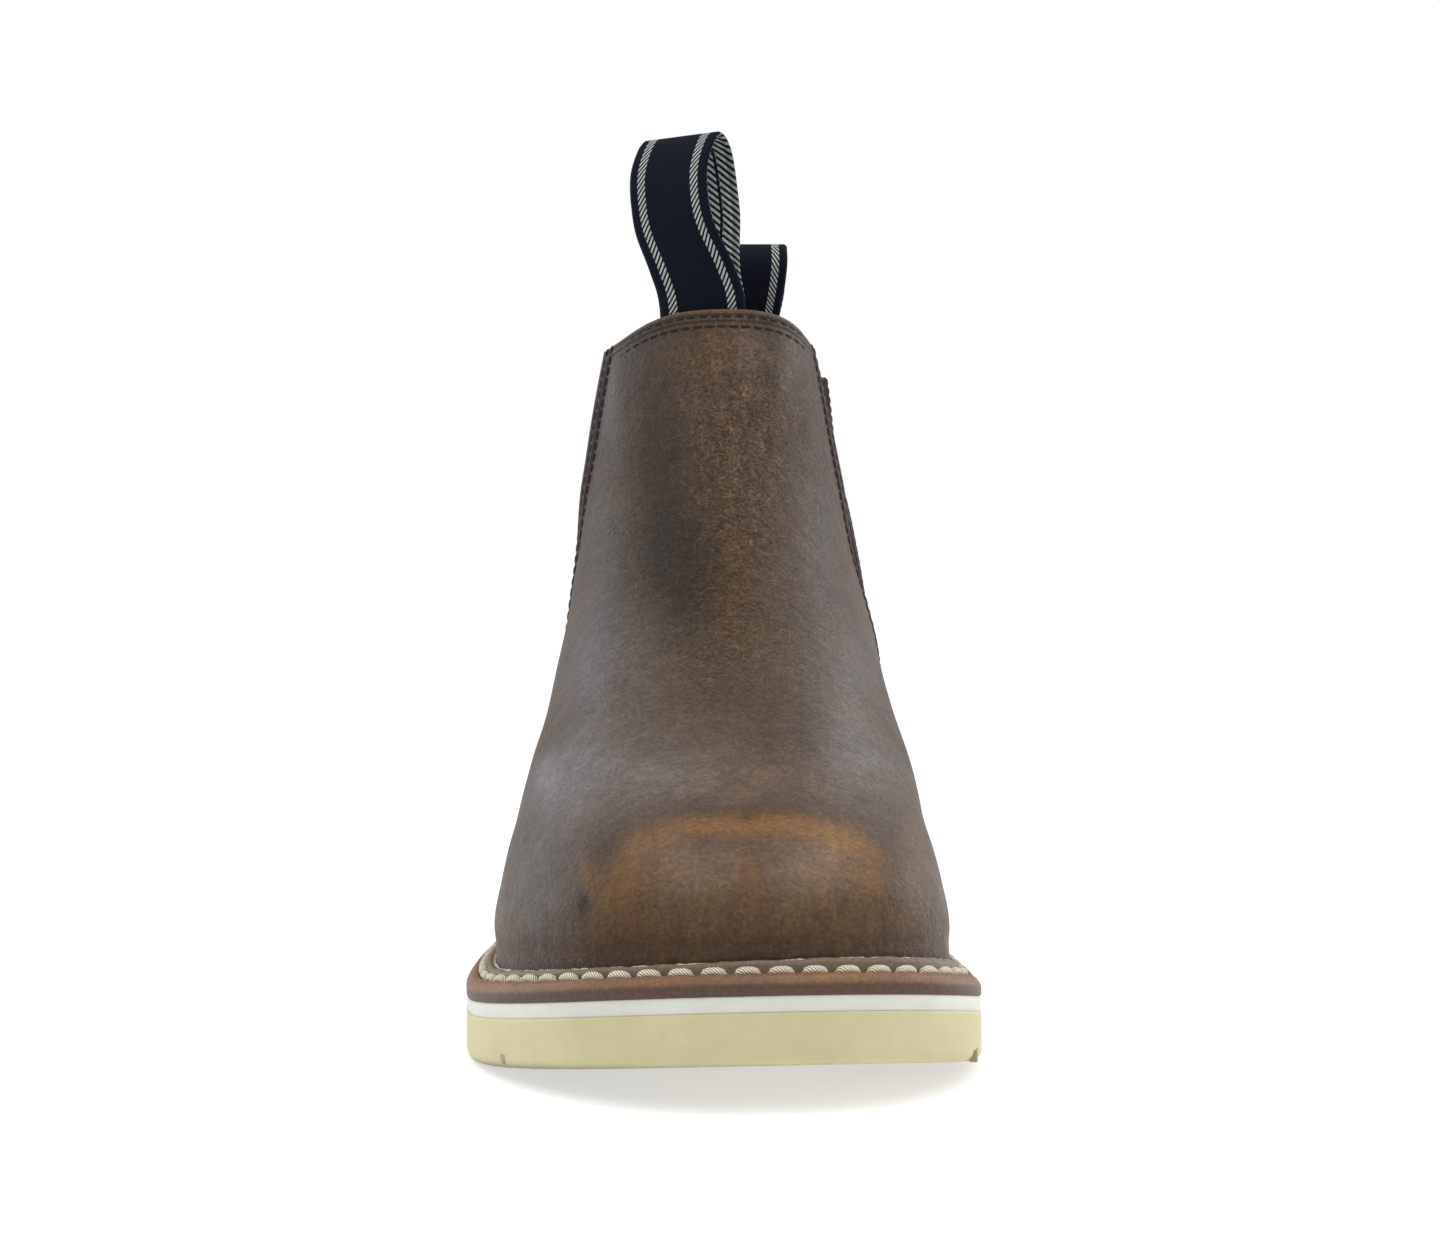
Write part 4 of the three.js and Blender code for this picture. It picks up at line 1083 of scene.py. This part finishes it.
def footbed_material():
    """Footbed covered with a pressed tan cloth."""
    material, tree, shader = new_material("Footbed", 0.85, specular_ior_level=0.25)
    place = add(tree, "TexCoord").outputs["Object"]
    mottle = noise(tree, place, 90.0, 4.0)
    weave = noise(tree, place, 1500.0, 2.0)
    colour = blend(tree, mottle, rgb(120, 100, 78), rgb(158, 138, 112))
    tree.links.new(colour, shader.inputs["Base Color"])
    finish_bump(tree, shader, weave, 0.0002, 0.6)
    return material


# Settings


def colour_property(name, description, colour):
    return bpy.props.FloatVectorProperty(
        name=name, description=description, subtype="COLOR", size=4, min=0.0, max=1.0, default=colour,
    )


def length_property(name, description, value):
    return bpy.props.FloatProperty(
        name=name, description=description, default=value * MM, unit="LENGTH", min=0.0,
    )


class BootSizes(bpy.types.PropertyGroup):
    """Sizes of the trim."""

    welt_stitch_pitch: length_property("Welt stitch pitch", "Distance between stitches of the welt", 6.4)
    welt_stitch_length: length_property("Welt stitch length", "Length of one stitch of the welt", 5.5)
    welt_thread: length_property("Welt thread", "Radius of the welt's thread", 0.95)
    seam_pitch: length_property("Seam stitch pitch", "Distance between stitches of the upper", 3.4)
    seam_stitch_length: length_property("Seam stitch length", "Length of one stitch of the upper", 3.0)
    seam_thread: length_property("Seam thread", "Radius of the upper's thread", 0.36)
    rib_pitch: length_property("Elastic rib pitch", "Distance between the cords of the elastic", 1.7)


class BootColours(bpy.types.PropertyGroup):
    """Colours of the boot."""

    leather: colour_property("Leather", "Main brown of the upper", rgb(75, 61, 50))
    leather_dark: colour_property("Leather dark", "Dark clouds of the upper", rgb(52, 42, 35))
    leather_light: colour_property("Leather light", "Pale mottling of the upper", rgb(90, 74, 60))
    leather_glow: colour_property("Leather glow", "Orange-brown pull-up of the upper", rgb(100, 68, 31))
    # Painted sheen: the grey that stands for light reflected at the sides of the vamp and shaft.
    leather_sheen: colour_property("Leather haze", "Grey bloom of the upper", rgb(88, 87, 88))
    leather_crack: colour_property("Leather crack", "Pale lines of the cracked grain", rgb(128, 100, 72))
    leather_border: colour_property("Leather border", "Dark reddish border along the gores", rgb(46, 32, 27))
    leather_edge: colour_property("Leather edge", "Napped cut edge of the leather", rgb(104, 82, 64))
    welt: colour_property("Welt", "Brown of the welt", rgb(108, 78, 54))
    welt_light: colour_property("Welt light", "Warm patches of the welt", rgb(124, 90, 60))
    welt_edge: colour_property("Welt edge", "Darker side of the welt", rgb(80, 62, 52))
    welt_rib: colour_property("Welt rib", "Greyish rib of the welt", rgb(110, 96, 81))
    thread: colour_property("Welt thread", "Cream of the welt's thread", rgb(226, 216, 198))
    seam: colour_property("Seam thread", "Dark brown of the upper's thread", rgb(44, 30, 27))
    midsole: colour_property("Midsole", "Off-white of the midsole", rgb(214, 217, 208))
    outsole: colour_property("Outsole", "Cream of the wedge", rgb(202, 193, 154))
    elastic: colour_property("Elastic", "Brown-black of the gores", rgb(44, 36, 33))
    webbing: colour_property("Webbing", "Navy of the pull loops", rgb(17, 24, 38))
    stripe: colour_property("Stripe", "Grey-green stripes of the pull loops", rgb(176, 184, 178))


# Operators


class BOOT_OT_stage(bpy.types.Operator):
    """Makes the floor, the soft lights and the camera at the photograph's angle"""

    bl_idname = "boot.stage"
    bl_label = "Stage"

    def execute(self, context):
        scene = context.scene
        scene.view_settings.view_transform = "Standard"
        self.floor()
        self.softbox("Left softbox", (-0.9, 0.35, 0.4), 1.0, 6.5, (0.9, 0.96, 1.0))
        self.softbox("Right softbox", (0.9, 0.35, 0.4), 1.0, 7.5, (0.97, 0.98, 1.0))
        self.softbox("Top softbox", (0.08, -0.22, 0.9), 0.35, 1.0, (1.0, 0.97, 0.92))
        self.sky()
        self.world(scene)
        data = bpy.data.cameras.new("Camera")
        data.sensor_width = SENSOR_WIDTH
        data.lens = PHOTO_FOCAL / PHOTO_SIZE[0] * SENSOR_WIDTH
        data.clip_start = 0.01
        camera = bpy.data.objects.new("Camera", data)
        camera.location = [c * MM for c in CAMERA_PLACE]
        camera.rotation_euler = (math.pi / 2, CAMERA_ROLL, 0.0)
        scene.collection.objects.link(camera)
        scene.camera = camera
        return {"FINISHED"}

    def floor(self):
        """One flat pale sheet that also shines a little, so that shadows on it stay faint."""
        mesh = bpy.data.meshes.new("Floor")
        corners = [(x, y, 0.0) for x, y in ((-30, -6), (30, -6), (30, 60), (-30, 60))]
        mesh.from_pydata(corners, [], [(0, 1, 2, 3)])
        material, tree, shader = new_material("Pale floor", 0.9, specular_ior_level=0.1)
        shader.inputs["Base Color"].default_value = rgb(190, 190, 190)
        shader.inputs["Emission Color"].default_value = (1.0, 1.0, 1.0, 1.0)
        shader.inputs["Emission Strength"].default_value = 0.55
        mesh.materials.append(material)
        floor = bpy.data.objects.new("Floor", mesh)
        bpy.context.scene.collection.objects.link(floor)

    def softbox(self, name, place, size, power, colour):
        data = bpy.data.lights.new(name, "AREA")
        data.energy, data.size, data.color = power, size, colour
        self.aim(bpy.data.objects.new(name, data), place)

    def sky(self):
        """A very soft sun, so that the floor is as bright far away as it is near."""
        data = bpy.data.lights.new("Soft sky", "SUN")
        data.energy, data.angle = 2.1, math.radians(75)
        self.aim(bpy.data.objects.new("Soft sky", data), (0.05, -0.3, 1.3))

    def aim(self, lamp, place):
        lamp.location = place
        aim = Vector((0.0, -0.02, 0.07)) - Vector(place)
        lamp.rotation_euler = aim.to_track_quat("-Z", "Y").to_euler()
        bpy.context.scene.collection.objects.link(lamp)

    def world(self, scene):
        """White where the camera looks past the floor, and a weaker white as light."""
        world = bpy.data.worlds.new("Studio")
        world.use_nodes = True
        tree = world.node_tree
        seen_by_camera = add(tree, "LightPath").outputs["Is Camera Ray"]
        strength = calc(tree, "ADD", 0.4, calc(tree, "MULTIPLY", seen_by_camera, 0.6))
        back = tree.nodes["Background"]
        back.inputs["Color"].default_value = (1.0, 1.0, 1.0, 1.0)
        tree.links.new(strength, back.inputs["Strength"])
        scene.world = world


class BOOT_OT_sole(bpy.types.Operator):
    """Makes the cream wedge with its tread, the off-white midsole and the footbed"""

    bl_idname = "boot.sole"
    bl_label = "Sole"

    def execute(self, context):
        colours = context.scene.boot_colours
        cream = foam_material("Blown rubber", colours.outsole, rgb(182, 174, 132), 0.00012)
        white = foam_material("Off-white foam", colours.midsole, rgb(198, 196, 182), 0.00008)
        grooves = np.concatenate([np.arange(a, b, TREAD_PITCH) for a, b in TREAD_SPANS])
        edges = np.concatenate([grooves + s * (TREAD_GROOVE / 2 + d) for s in (-1, 1) for d in (-0.12, 0.12)])
        stations = even_turns(1.8, np.arccos(1 - 2 * edges / SOLE_LENGTH))

        def ripple(x, back):
            near = np.abs(back[..., None] - grooves).min(-1)
            groove = TREAD_DEPTH * (1 - smooth((near - TREAD_GROOVE / 2 + 0.12) / 0.24))
            rough = 0.16 * np.sin(x * 1.9 + 0.7 * np.sin(x * 0.63)) + 0.1 * np.sin(x * 4.3 + back * 0.9)
            at_toe = smooth(1 - back / 40)
            whole = np.where(x < OUTER_TREAD_X, smooth((back - OUTER_TREAD_START) / 4), 1.0)
            return groove * whole + np.maximum(0, rough * at_toe)

        # Inset and height share up the wedge's side: rounded bottom, straight side, eased top.
        edge = np.array([
            (1.9, 0.0), (1.1, 0.025), (0.55, 0.06), (0.22, 0.11), (0.05, 0.17), (0.0, 0.22), (0.0, 0.4),
            (0.0, 0.6), (0.0, 0.8), (0.0, 0.93), (0.06, 0.98), (0.3, 1.0),
        ]).T
        sole = sole_layer(
            "wedge_outsole", ground_face, tread_top, edge, stations, 30, cream, "outsole", ripple,
        )
        # Painted shade: the wedge darkens within 1.5 mm of its bottom edge.
        self.mark_painted_shade(sole, lambda p: smooth(1 - (p[:, 2] - ground_face(p[:, 1] - TOE_Y)) / 1.5) * 0.75)
        edge = np.array([(0.35, 0.0), (0.2, 0.1), (0.15, 0.5), (0.2, 0.9), (0.35, 1.0)]).T
        sole = sole_layer(
            "white_midsole", self.midsole_low, self.midsole_high, edge, even_turns(1.8), 8, white,
            "midsole",
        )
        self.mark_painted_shade(sole, lambda p: np.zeros(len(p)))
        self.footbed()
        self.nubs(cream)
        return {"FINISHED"}

    def midsole_low(self, back):
        """The layers are pressed together, so the midsole takes up the clearances but for a hair."""
        return tread_top(back) + PRESSED_GAP

    def midsole_high(self, back):
        return midsole_top(back) + CLEARANCE - PRESSED_GAP

    def mark_painted_shade(self, piece, rule):
        points = np.zeros(len(piece.data.vertices) * 3, np.float32)
        piece.data.vertices.foreach_get("co", points)
        points = points.reshape(-1, 3) / MM - (SHIFT_X, 0, 0)
        attribute = piece.data.attributes.new("dirt_and_shade", "FLOAT", "POINT")
        attribute.data.foreach_set("value", rule(points).astype(np.float32))

    def footbed(self):
        """The footbed fills the feather line less a clearance and is dished along its middle."""
        stations = np.linspace(0.03, np.pi - 0.03, 90)
        shares = np.linspace(0, 1, 33)
        rows = []
        for height in (0.0, 1.0):
            inset = welt_reach(stations) + WALL + 2 * CLEARANCE
            x1, b1 = outline_point(stations, inset)
            x2, b2 = outline_point(2 * np.pi - stations, inset)
            x, back = mix(x1[:, None], x2[:, None], shares), mix(b1[:, None], b2[:, None], shares)
            dish = height * FOOTBED_DISH * ((2 * shares - 1) ** 4 - 1)
            z = midsole_top(back) + CLEARANCE + INSOLE_THICKNESS * height + dish
            rows.append(np.stack([x, TOE_Y + back, z], -1))
        points, quads, fields = closed_patch(rows[1], rows[0], {})
        make_piece("footbed", points, quads, footbed_material(), node=["insole"], smooth_angle=50)

    def nubs(self, material):
        """Two small lugs that show at the wedge's front corners, as tapered blocks."""
        points, faces, dirt_and_shade = [], [], []
        for turn, half, high, tip in ((0.62, 1.0, 1.9, 0.0), (2 * np.pi - 0.6, 0.8, 1.7, 1.1)):
            x, back = outline_point(np.array(turn), 0.25)
            ahead_x, ahead_back = outline_point(np.array(turn + 0.01), 0.25)
            along = np.array([ahead_x - x, ahead_back - back, 0.0])
            along /= np.linalg.norm(along)
            out = np.array([along[1], -along[0], 0.0])
            out *= -1 if out[1] > 0 else 1
            base = np.array([x, TOE_Y + back, ground_face(back) + 0.9])
            start = len(points)
            for depth, grow in ((-1.2, 1.0), (0.35, 0.85)):
                for a, b in ((-1, 0), (1, 0), (1, 1), (-1, 1)):
                    wide = a * half * grow * (1 if b else 0.6)
                    points.append(base + along * wide + out * depth + (0, 0, b * high - tip * (1 - b)))
            box = np.array([
                (0, 1, 2, 3), (7, 6, 5, 4), (0, 4, 5, 1), (1, 5, 6, 2), (2, 6, 7, 3), (3, 7, 4, 0),
            ])
            box = facing_out(np.array(points[start:]) - base, box)
            faces += list(box + start)
            # Painted shade: the nubs are tinted halfway to the wedge's painted-shade colour.
            dirt_and_shade += [0.5] * 8
        make_piece("tread_nubs", np.array(points), faces, material, {"dirt_and_shade": dirt_and_shade}, smooth_angle=30)


class BOOT_OT_welt(bpy.types.Operator):
    """Makes the storm welt with its groove and rib, its cream stitches and the raw edge above it"""

    bl_idname = "boot.welt"
    bl_label = "Welt"

    def execute(self, context):
        colours, sizes = context.scene.boot_colours, context.scene.boot_sizes
        turns = even_turns(1.1)
        turns = np.concatenate([turns, 2 * np.pi - turns[-2:0:-1]])
        inner = welt_reach(turns) - CLEARANCE
        rib = inner - WELT_RIB_WIDTH
        groove = rib - WELT_GROOVE_WIDTH
        zero = np.zeros_like(turns)
        # Inset, height over the welt's top, and how much the place is edge or rib.
        profile = [
            (zero + 0.15, -WELT_THICKNESS, 1, 0),
            (zero + 0.02, -WELT_THICKNESS + 0.2, 1, 0),
            (zero, -2.6, 1, 0),
            (zero + 0.06, -2.2, 0.7, 0),
            (zero + 0.3, -1.7, 0.15, 0),
            (zero + 0.95, -0.75, 0, 0),
            (zero + WELT_BEVEL, -0.1, 0, 0),
            (mix(zero + WELT_BEVEL, groove, 0.6), 0.0, 0, 0),
            (groove - 0.2, -0.03, 0, 0),
            # The groove's floor takes half of the edge's darker colour: painted shade.
            (groove + 0.05, -0.3, 0.2, 0),
            (groove + 0.3, -WELT_GROOVE_DEPTH, 0.5, 0),
            (rib - 0.2, -WELT_GROOVE_DEPTH, 0.5, 0.2),
            (rib, -0.2, 0.2, 0.8),
            (rib + 0.1, WELT_RIB_HEIGHT * 0.5, 0, 1),
            (rib + 0.35, WELT_RIB_HEIGHT * 0.86, 0, 1),
            (rib + 0.8, WELT_RIB_HEIGHT, 0, 1),
            (rib + 1.4, WELT_RIB_HEIGHT * 0.98, 0, 1),
            (inner - 0.1, WELT_RIB_HEIGHT * 0.9, 0, 1),
            (inner, WELT_RIB_HEIGHT * 0.7, 0, 1),
            (inner, -WELT_THICKNESS, 0, 1),
        ]
        columns = []
        for inset, height, _, _ in profile:
            x, back = outline_point(turns, inset)
            columns.append(np.stack([x, TOE_Y + back, welt_top(back) + height], -1))
        grid = np.stack(columns, 1)
        rib_x, rib_y = grid[:, 14, 0], grid[:, 14, 1]
        swell = WELT_RIB_SWELL * smooth((rib_x + 20) / 60) * smooth((60 - rib_y + TOE_Y) / 40)
        wave = swell + 0.12 * np.sin(turns * 41) + 0.1 * np.sin(turns * 67 + 1.3)
        grid[:, 13:19, 2] += wave[:, None]
        quads = grid_faces(len(turns), len(profile), close_rows=True, close_columns=True)
        quads = facing_out(grid.reshape(-1, 3), quads)
        fields = {
            "edge": np.tile([row[2] for row in profile], len(turns)),
            "rib": np.tile([row[3] for row in profile], len(turns)),
        }
        make_piece(
            "storm_welt", grid, quads, welt_material(colours), fields, node=["welt"],
            smooth_angle=50,
        )
        thread = thread_material("Welt thread", colours.thread, rgb(120, 104, 82))
        line = rib - WELT_GROOVE_WIDTH * 0.42
        x, back = outline_point(turns, line)
        row = np.stack([x, TOE_Y + back, welt_top(back) - 0.05], -1)
        row = np.concatenate([row, row[:1]])
        up = np.tile([0.0, 0.0, 1.0], (len(row), 1))
        stitches(
            "welt_stitches", [(row, up)], thread,
            length=sizes.welt_stitch_length / MM, radius=sizes.welt_thread / MM, lift=1.15,
            pitch=sizes.welt_stitch_pitch / MM,
        )
        self.raw_edge(turns, swell)
        return {"FINISHED"}

    def raw_edge(self, turns, swell):
        """A thin uneven roll of pale fluff where upper and rib meet: a tube of varying radius."""
        angles = np.linspace(0, 2 * np.pi, 9)[:-1]
        inset = welt_reach(turns) - 0.25
        x, back = outline_point(turns, inset)
        wobble = np.sin(turns * 93) * np.sin(turns * 31 + 2) + 0.6 * np.sin(turns * 211)
        radius = 0.32 + 0.12 * wobble
        centre = np.stack([x, TOE_Y + back, welt_top(back) + WELT_RIB_HEIGHT * 0.9 + swell], -1)
        ahead = np.roll(centre, -1, 0) - np.roll(centre, 1, 0)
        side = np.cross(ahead, (0, 0, 1.0))
        side /= np.linalg.norm(side, axis=1, keepdims=True)
        cos, sin = np.cos(angles)[None, :, None], np.sin(angles)[None, :, None]
        ring = side[:, None] * cos + np.array([0, 0, 1.0]) * sin
        points = centre[:, None] + ring * radius[:, None, None]
        quads = grid_faces(len(turns), len(angles), close_rows=True, close_columns=True)
        quads = facing_out(points.reshape(-1, 3), quads)
        material, tree, shader = new_material("Raw edge", 0.9, specular_ior_level=0.2)
        place = add(tree, "TexCoord").outputs["Object"]
        fluff = noise(tree, place, 900.0, 3.0)
        pale = blend(tree, ranged(tree, fluff, 0.4, 0.6), rgb(150, 134, 114), rgb(214, 202, 182))
        tree.links.new(pale, shader.inputs["Base Color"])
        finish_bump(tree, shader, fluff, 0.0002)
        make_piece("raw_edge", points, quads, material)


class BOOT_OT_upper(bpy.types.Operator):
    """Makes the vamp and the quarter of oiled leather, and their dark stitch rows"""

    bl_idname = "boot.upper"
    bl_label = "Upper"

    def execute(self, context):
        colours, sizes = context.scene.boot_colours, context.scene.boot_sizes
        leather = leather_material(colours)
        levels = panel_levels(132)
        lateral_front = edge_turn(levels, 1, -1)
        medial_front = edge_turn(levels, -1, -1)
        lateral_back = edge_turn(levels, 1, 1)
        medial_back = edge_turn(levels, -1, 1)
        vamp = leather_panel("vamp", -medial_front, lateral_front, levels, 250, 0.0, leather, True)
        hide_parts("upper")
        tuck_in = 0.004
        leather_panel(
            "quarter", lateral_back - tuck_in, 2 * np.pi - medial_back + tuck_in, levels, 150, VAMP_STEP,
            leather, False,
        )
        rows = []
        for side in (1, -1):
            for margin in SEAM_ROWS:
                rows.append(u_path(side, margin))
                rows.append(seam_path(side, margin))
        top = np.array([float(TOP_RING)])
        for margin in SEAM_ROWS:
            lateral, medial = (edge_turn(top, side, -1, margin)[0] for side in (1, -1))
            rows.append(collar_path(-medial, lateral, margin))
            lateral, medial = (edge_turn(top, side, 1, margin)[0] for side in (1, -1))
            point, inward = collar_path(lateral, 2 * np.pi - medial, margin)
            rows.append((point + inward * VAMP_STEP, inward))
        rows = [(point, -inward) for point, inward in rows]
        thread = thread_material("Seam thread", colours.seam, rgb(24, 17, 15))
        stitches(
            "seam_stitches", rows, thread,
            length=sizes.seam_stitch_length / MM, radius=sizes.seam_thread / MM, lift=0.3,
            pitch=sizes.seam_pitch / MM,
        )
        return {"FINISHED"}


class BOOT_OT_gores(bpy.types.Operator):
    """Makes the two ribbed elastic panels behind the cut-outs"""

    bl_idname = "boot.gores"
    bl_label = "Elastic gores"

    def execute(self, context):
        pitch = context.scene.boot_sizes.rib_pitch / MM
        material = elastic_material(context.scene.boot_colours)
        self.panel(1, "elastic_lateral", "gore_lateral", pitch, material)
        self.panel(-1, "elastic_medial", "gore_medial", pitch, material)
        return {"FINISHED"}

    def panel(self, side, name, node, pitch, material):
        """Columns run across the U, rows up it. A cord's crown is abs(cos(PI d / pitch))."""
        bottom = GORE_BOTTOM[side]
        s = np.linspace(-1, 1, 181)
        top_z = upper_point(float(TOP_RING), side * edge_turn(np.array([float(TOP_RING)]), side, -1))[0, 2]
        low = bottom - GORE_MARGIN + 0.02
        radius = GORE_HALF_BOTTOM + GORE_MARGIN
        round_rows = low + radius * (1 - np.cos(np.linspace(0.02, np.pi / 2, 16)))
        straight_rows = np.linspace(round_rows[-1] + 2, top_z + 9, 40)
        z = np.concatenate([round_rows, straight_rows])
        front = gore_edge(z, bottom, -1, GORE_MARGIN)
        back = gore_edge(z, bottom, 1, GORE_MARGIN)
        centre = (front + back) / 2
        across = (back - front)[:, None] / 2 * s[None, :]
        backs = centre[:, None] + across
        heights = z[:, None] + np.zeros_like(backs)
        depth = WALL + CLEARANCE
        level, turn = find_on_upper(backs, heights, side, depth)
        crown = np.abs(np.cos(np.pi * across / pitch)) ** 0.7
        sink = GORE_SINK * smooth((1 - np.abs(s)) / 0.35)
        outer = upper_inside(level, side * turn, depth + sink + 0.28 * (1 - crown))
        inner = upper_inside(level, side * turn, depth + sink + GORE_WALL - 0.2 * (1 - crown))
        points, quads, fields = closed_patch(outer, inner, {"crown": (crown, crown)})
        make_piece(name, points, quads, material, fields, node=[node])


class BOOT_OT_pull_loops(bpy.types.Operator):
    """Makes the two folded webbing loops at the collar"""

    bl_idname = "boot.pull_loops"
    bl_label = "Pull loops"

    def execute(self, context):
        material = webbing_material(context.scene.boot_colours)
        self.loop("webbing_front", "pull_loop_front", material, **FRONT_LOOP)
        self.loop("webbing_back", "pull_loop_back", material, **BACK_LOOP)
        return {"FINISHED"}

    def inside_wall(self, x, height, heel):
        """Where webbing can lie inside the collar, by Newton steps on turn and level: y and z."""
        depth = WALL + 3 * CLEARANCE + WEBBING_THICKNESS / 2
        turn = np.full(np.shape(x), np.pi if heel else 0.0)
        level = np.full(np.shape(x), float(TOP_RING))
        for _ in range(8):
            here = upper_inside(level, turn, depth)
            across = (upper_inside(level, turn + TURN_STEP, depth)[..., 0] - here[..., 0]) / TURN_STEP
            up = (here[..., 2] - upper_inside(level - 0.1, turn, depth)[..., 2]) / 0.1
            turn = turn + (x - here[..., 0]) / across
            level = np.minimum(TOP_RING, level + (height - here[..., 2]) / up)
        return upper_inside(level, turn, depth)[..., 1:]

    def loop(self, name, node, material, heel, rise, shift, lean, yaw):
        """The part's own path, finer: height, depth and lean are cubics over the rows of LOOP_PATH."""
        inwards = -1.0 if heel else 1.0
        centre_x = float(upper_point(float(TOP_RING), math.pi if heel else 0.0)[0]) + shift
        collar_z = float(self.inside_wall(np.array(centre_x), np.array(BOOT_HEIGHT * 2), heel)[1])
        feet = LOOP_TUCK / rise
        path = np.array([(-feet, 0.0, 0.0), *LOOP_PATH, (-feet, LOOP_FOOT_DEPTH, 0.0)])
        place = np.linspace(0, len(path) - 1, 150)

        def at(where, column):
            return between_rows(path[:, column], np.clip(where, 0, len(path) - 1))

        height = at(place, 0) * rise
        free = np.clip(height / rise, 0, 1)
        turn = yaw * smooth(free * 1.6)
        up = (at(place + 0.05, 0) - at(place - 0.05, 0)) * rise
        inward = (at(place + 0.05, 1) - at(place - 0.05, 1)) * LOOP_GAP
        length = np.hypot(up, inward)
        low = collar_z + np.minimum(0, height)
        middle_y = self.inside_wall(np.full(place.shape, centre_x), low, heel)[:, 0]
        s = np.linspace(-1, 1, 33)
        across = WEBBING_WIDTH / 2 * s
        thinner = 0.8 * np.maximum(0, np.abs(s) - 0.93) ** 2 / 0.07**2
        round_off = 0.5 * WEBBING_THICKNESS * np.clip(1 - thinner, 0.2, 1)
        grid_x = centre_x + across[None, :] + np.zeros((len(place), 1))
        wall_y = self.inside_wall(grid_x, low[:, None] + np.zeros_like(grid_x), heel)[..., 0]
        flat = mix(wall_y, middle_y[:, None], smooth(free * 2.5)[:, None])
        faces = []
        for sign in (-1, 1):
            offset = sign * round_off[None, :]
            depth = (at(place, 1) * LOOP_GAP)[:, None] - offset * (up / length)[:, None]
            z = (collar_z + height)[:, None] + offset * (inward / length)[:, None]
            cos, sin = np.cos(turn)[:, None], np.sin(turn)[:, None]
            x = centre_x + (lean * at(place, 2))[:, None] + across * cos + inwards * depth * sin
            y = flat + inwards * depth * cos - across * sin
            faces.append(np.stack([x, y, z + np.zeros_like(x)], -1))
        along = arc_lengths(faces[0].transpose(1, 0, 2))[len(s) // 2][:, None] + np.zeros_like(grid_x)
        wide = across[None, :] + np.zeros_like(grid_x)
        inside = (np.ones_like(wide), np.zeros_like(wide))
        fields = {"across": (wide, wide), "along": (along, along), "inside": inside}
        points, quads, merged = closed_patch(faces[0], faces[1], fields)
        make_piece(name, points, quads, material, merged, node=[node])


class BOOT_PT_panel(bpy.types.Panel):
    """Lists the boot's sizes, colours and steps"""

    bl_idname = "BOOT_PT_panel"
    bl_label = "Work Boot"
    bl_space_type = "VIEW_3D"
    bl_region_type = "UI"
    bl_category = "Boot"

    def draw(self, context):
        layout = self.layout
        for settings in (context.scene.boot_sizes, context.scene.boot_colours):
            box = layout.box()
            for name in settings.__annotations__:
                box.prop(settings, name)
        for step in OPERATORS:
            layout.operator(step.bl_idname)


OPERATORS = (BOOT_OT_stage, BOOT_OT_sole, BOOT_OT_welt, BOOT_OT_upper, BOOT_OT_gores, BOOT_OT_pull_loops)
CLASSES = (BootSizes, BootColours, *OPERATORS, BOOT_PT_panel)


def register():
    for made in CLASSES:
        bpy.utils.register_class(made)
    bpy.types.Scene.boot_sizes = bpy.props.PointerProperty(type=BootSizes)
    bpy.types.Scene.boot_colours = bpy.props.PointerProperty(type=BootColours)


def unregister():
    del bpy.types.Scene.boot_colours
    del bpy.types.Scene.boot_sizes
    for made in reversed(CLASSES):
        bpy.utils.unregister_class(made)


def main():
    register()
    bpy.ops.boot.stage()
    bpy.ops.boot.sole()
    bpy.ops.boot.welt()
    bpy.ops.boot.upper()
    bpy.ops.boot.gores()
    bpy.ops.boot.pull_loops()


if __name__ == "__main__":
    main()
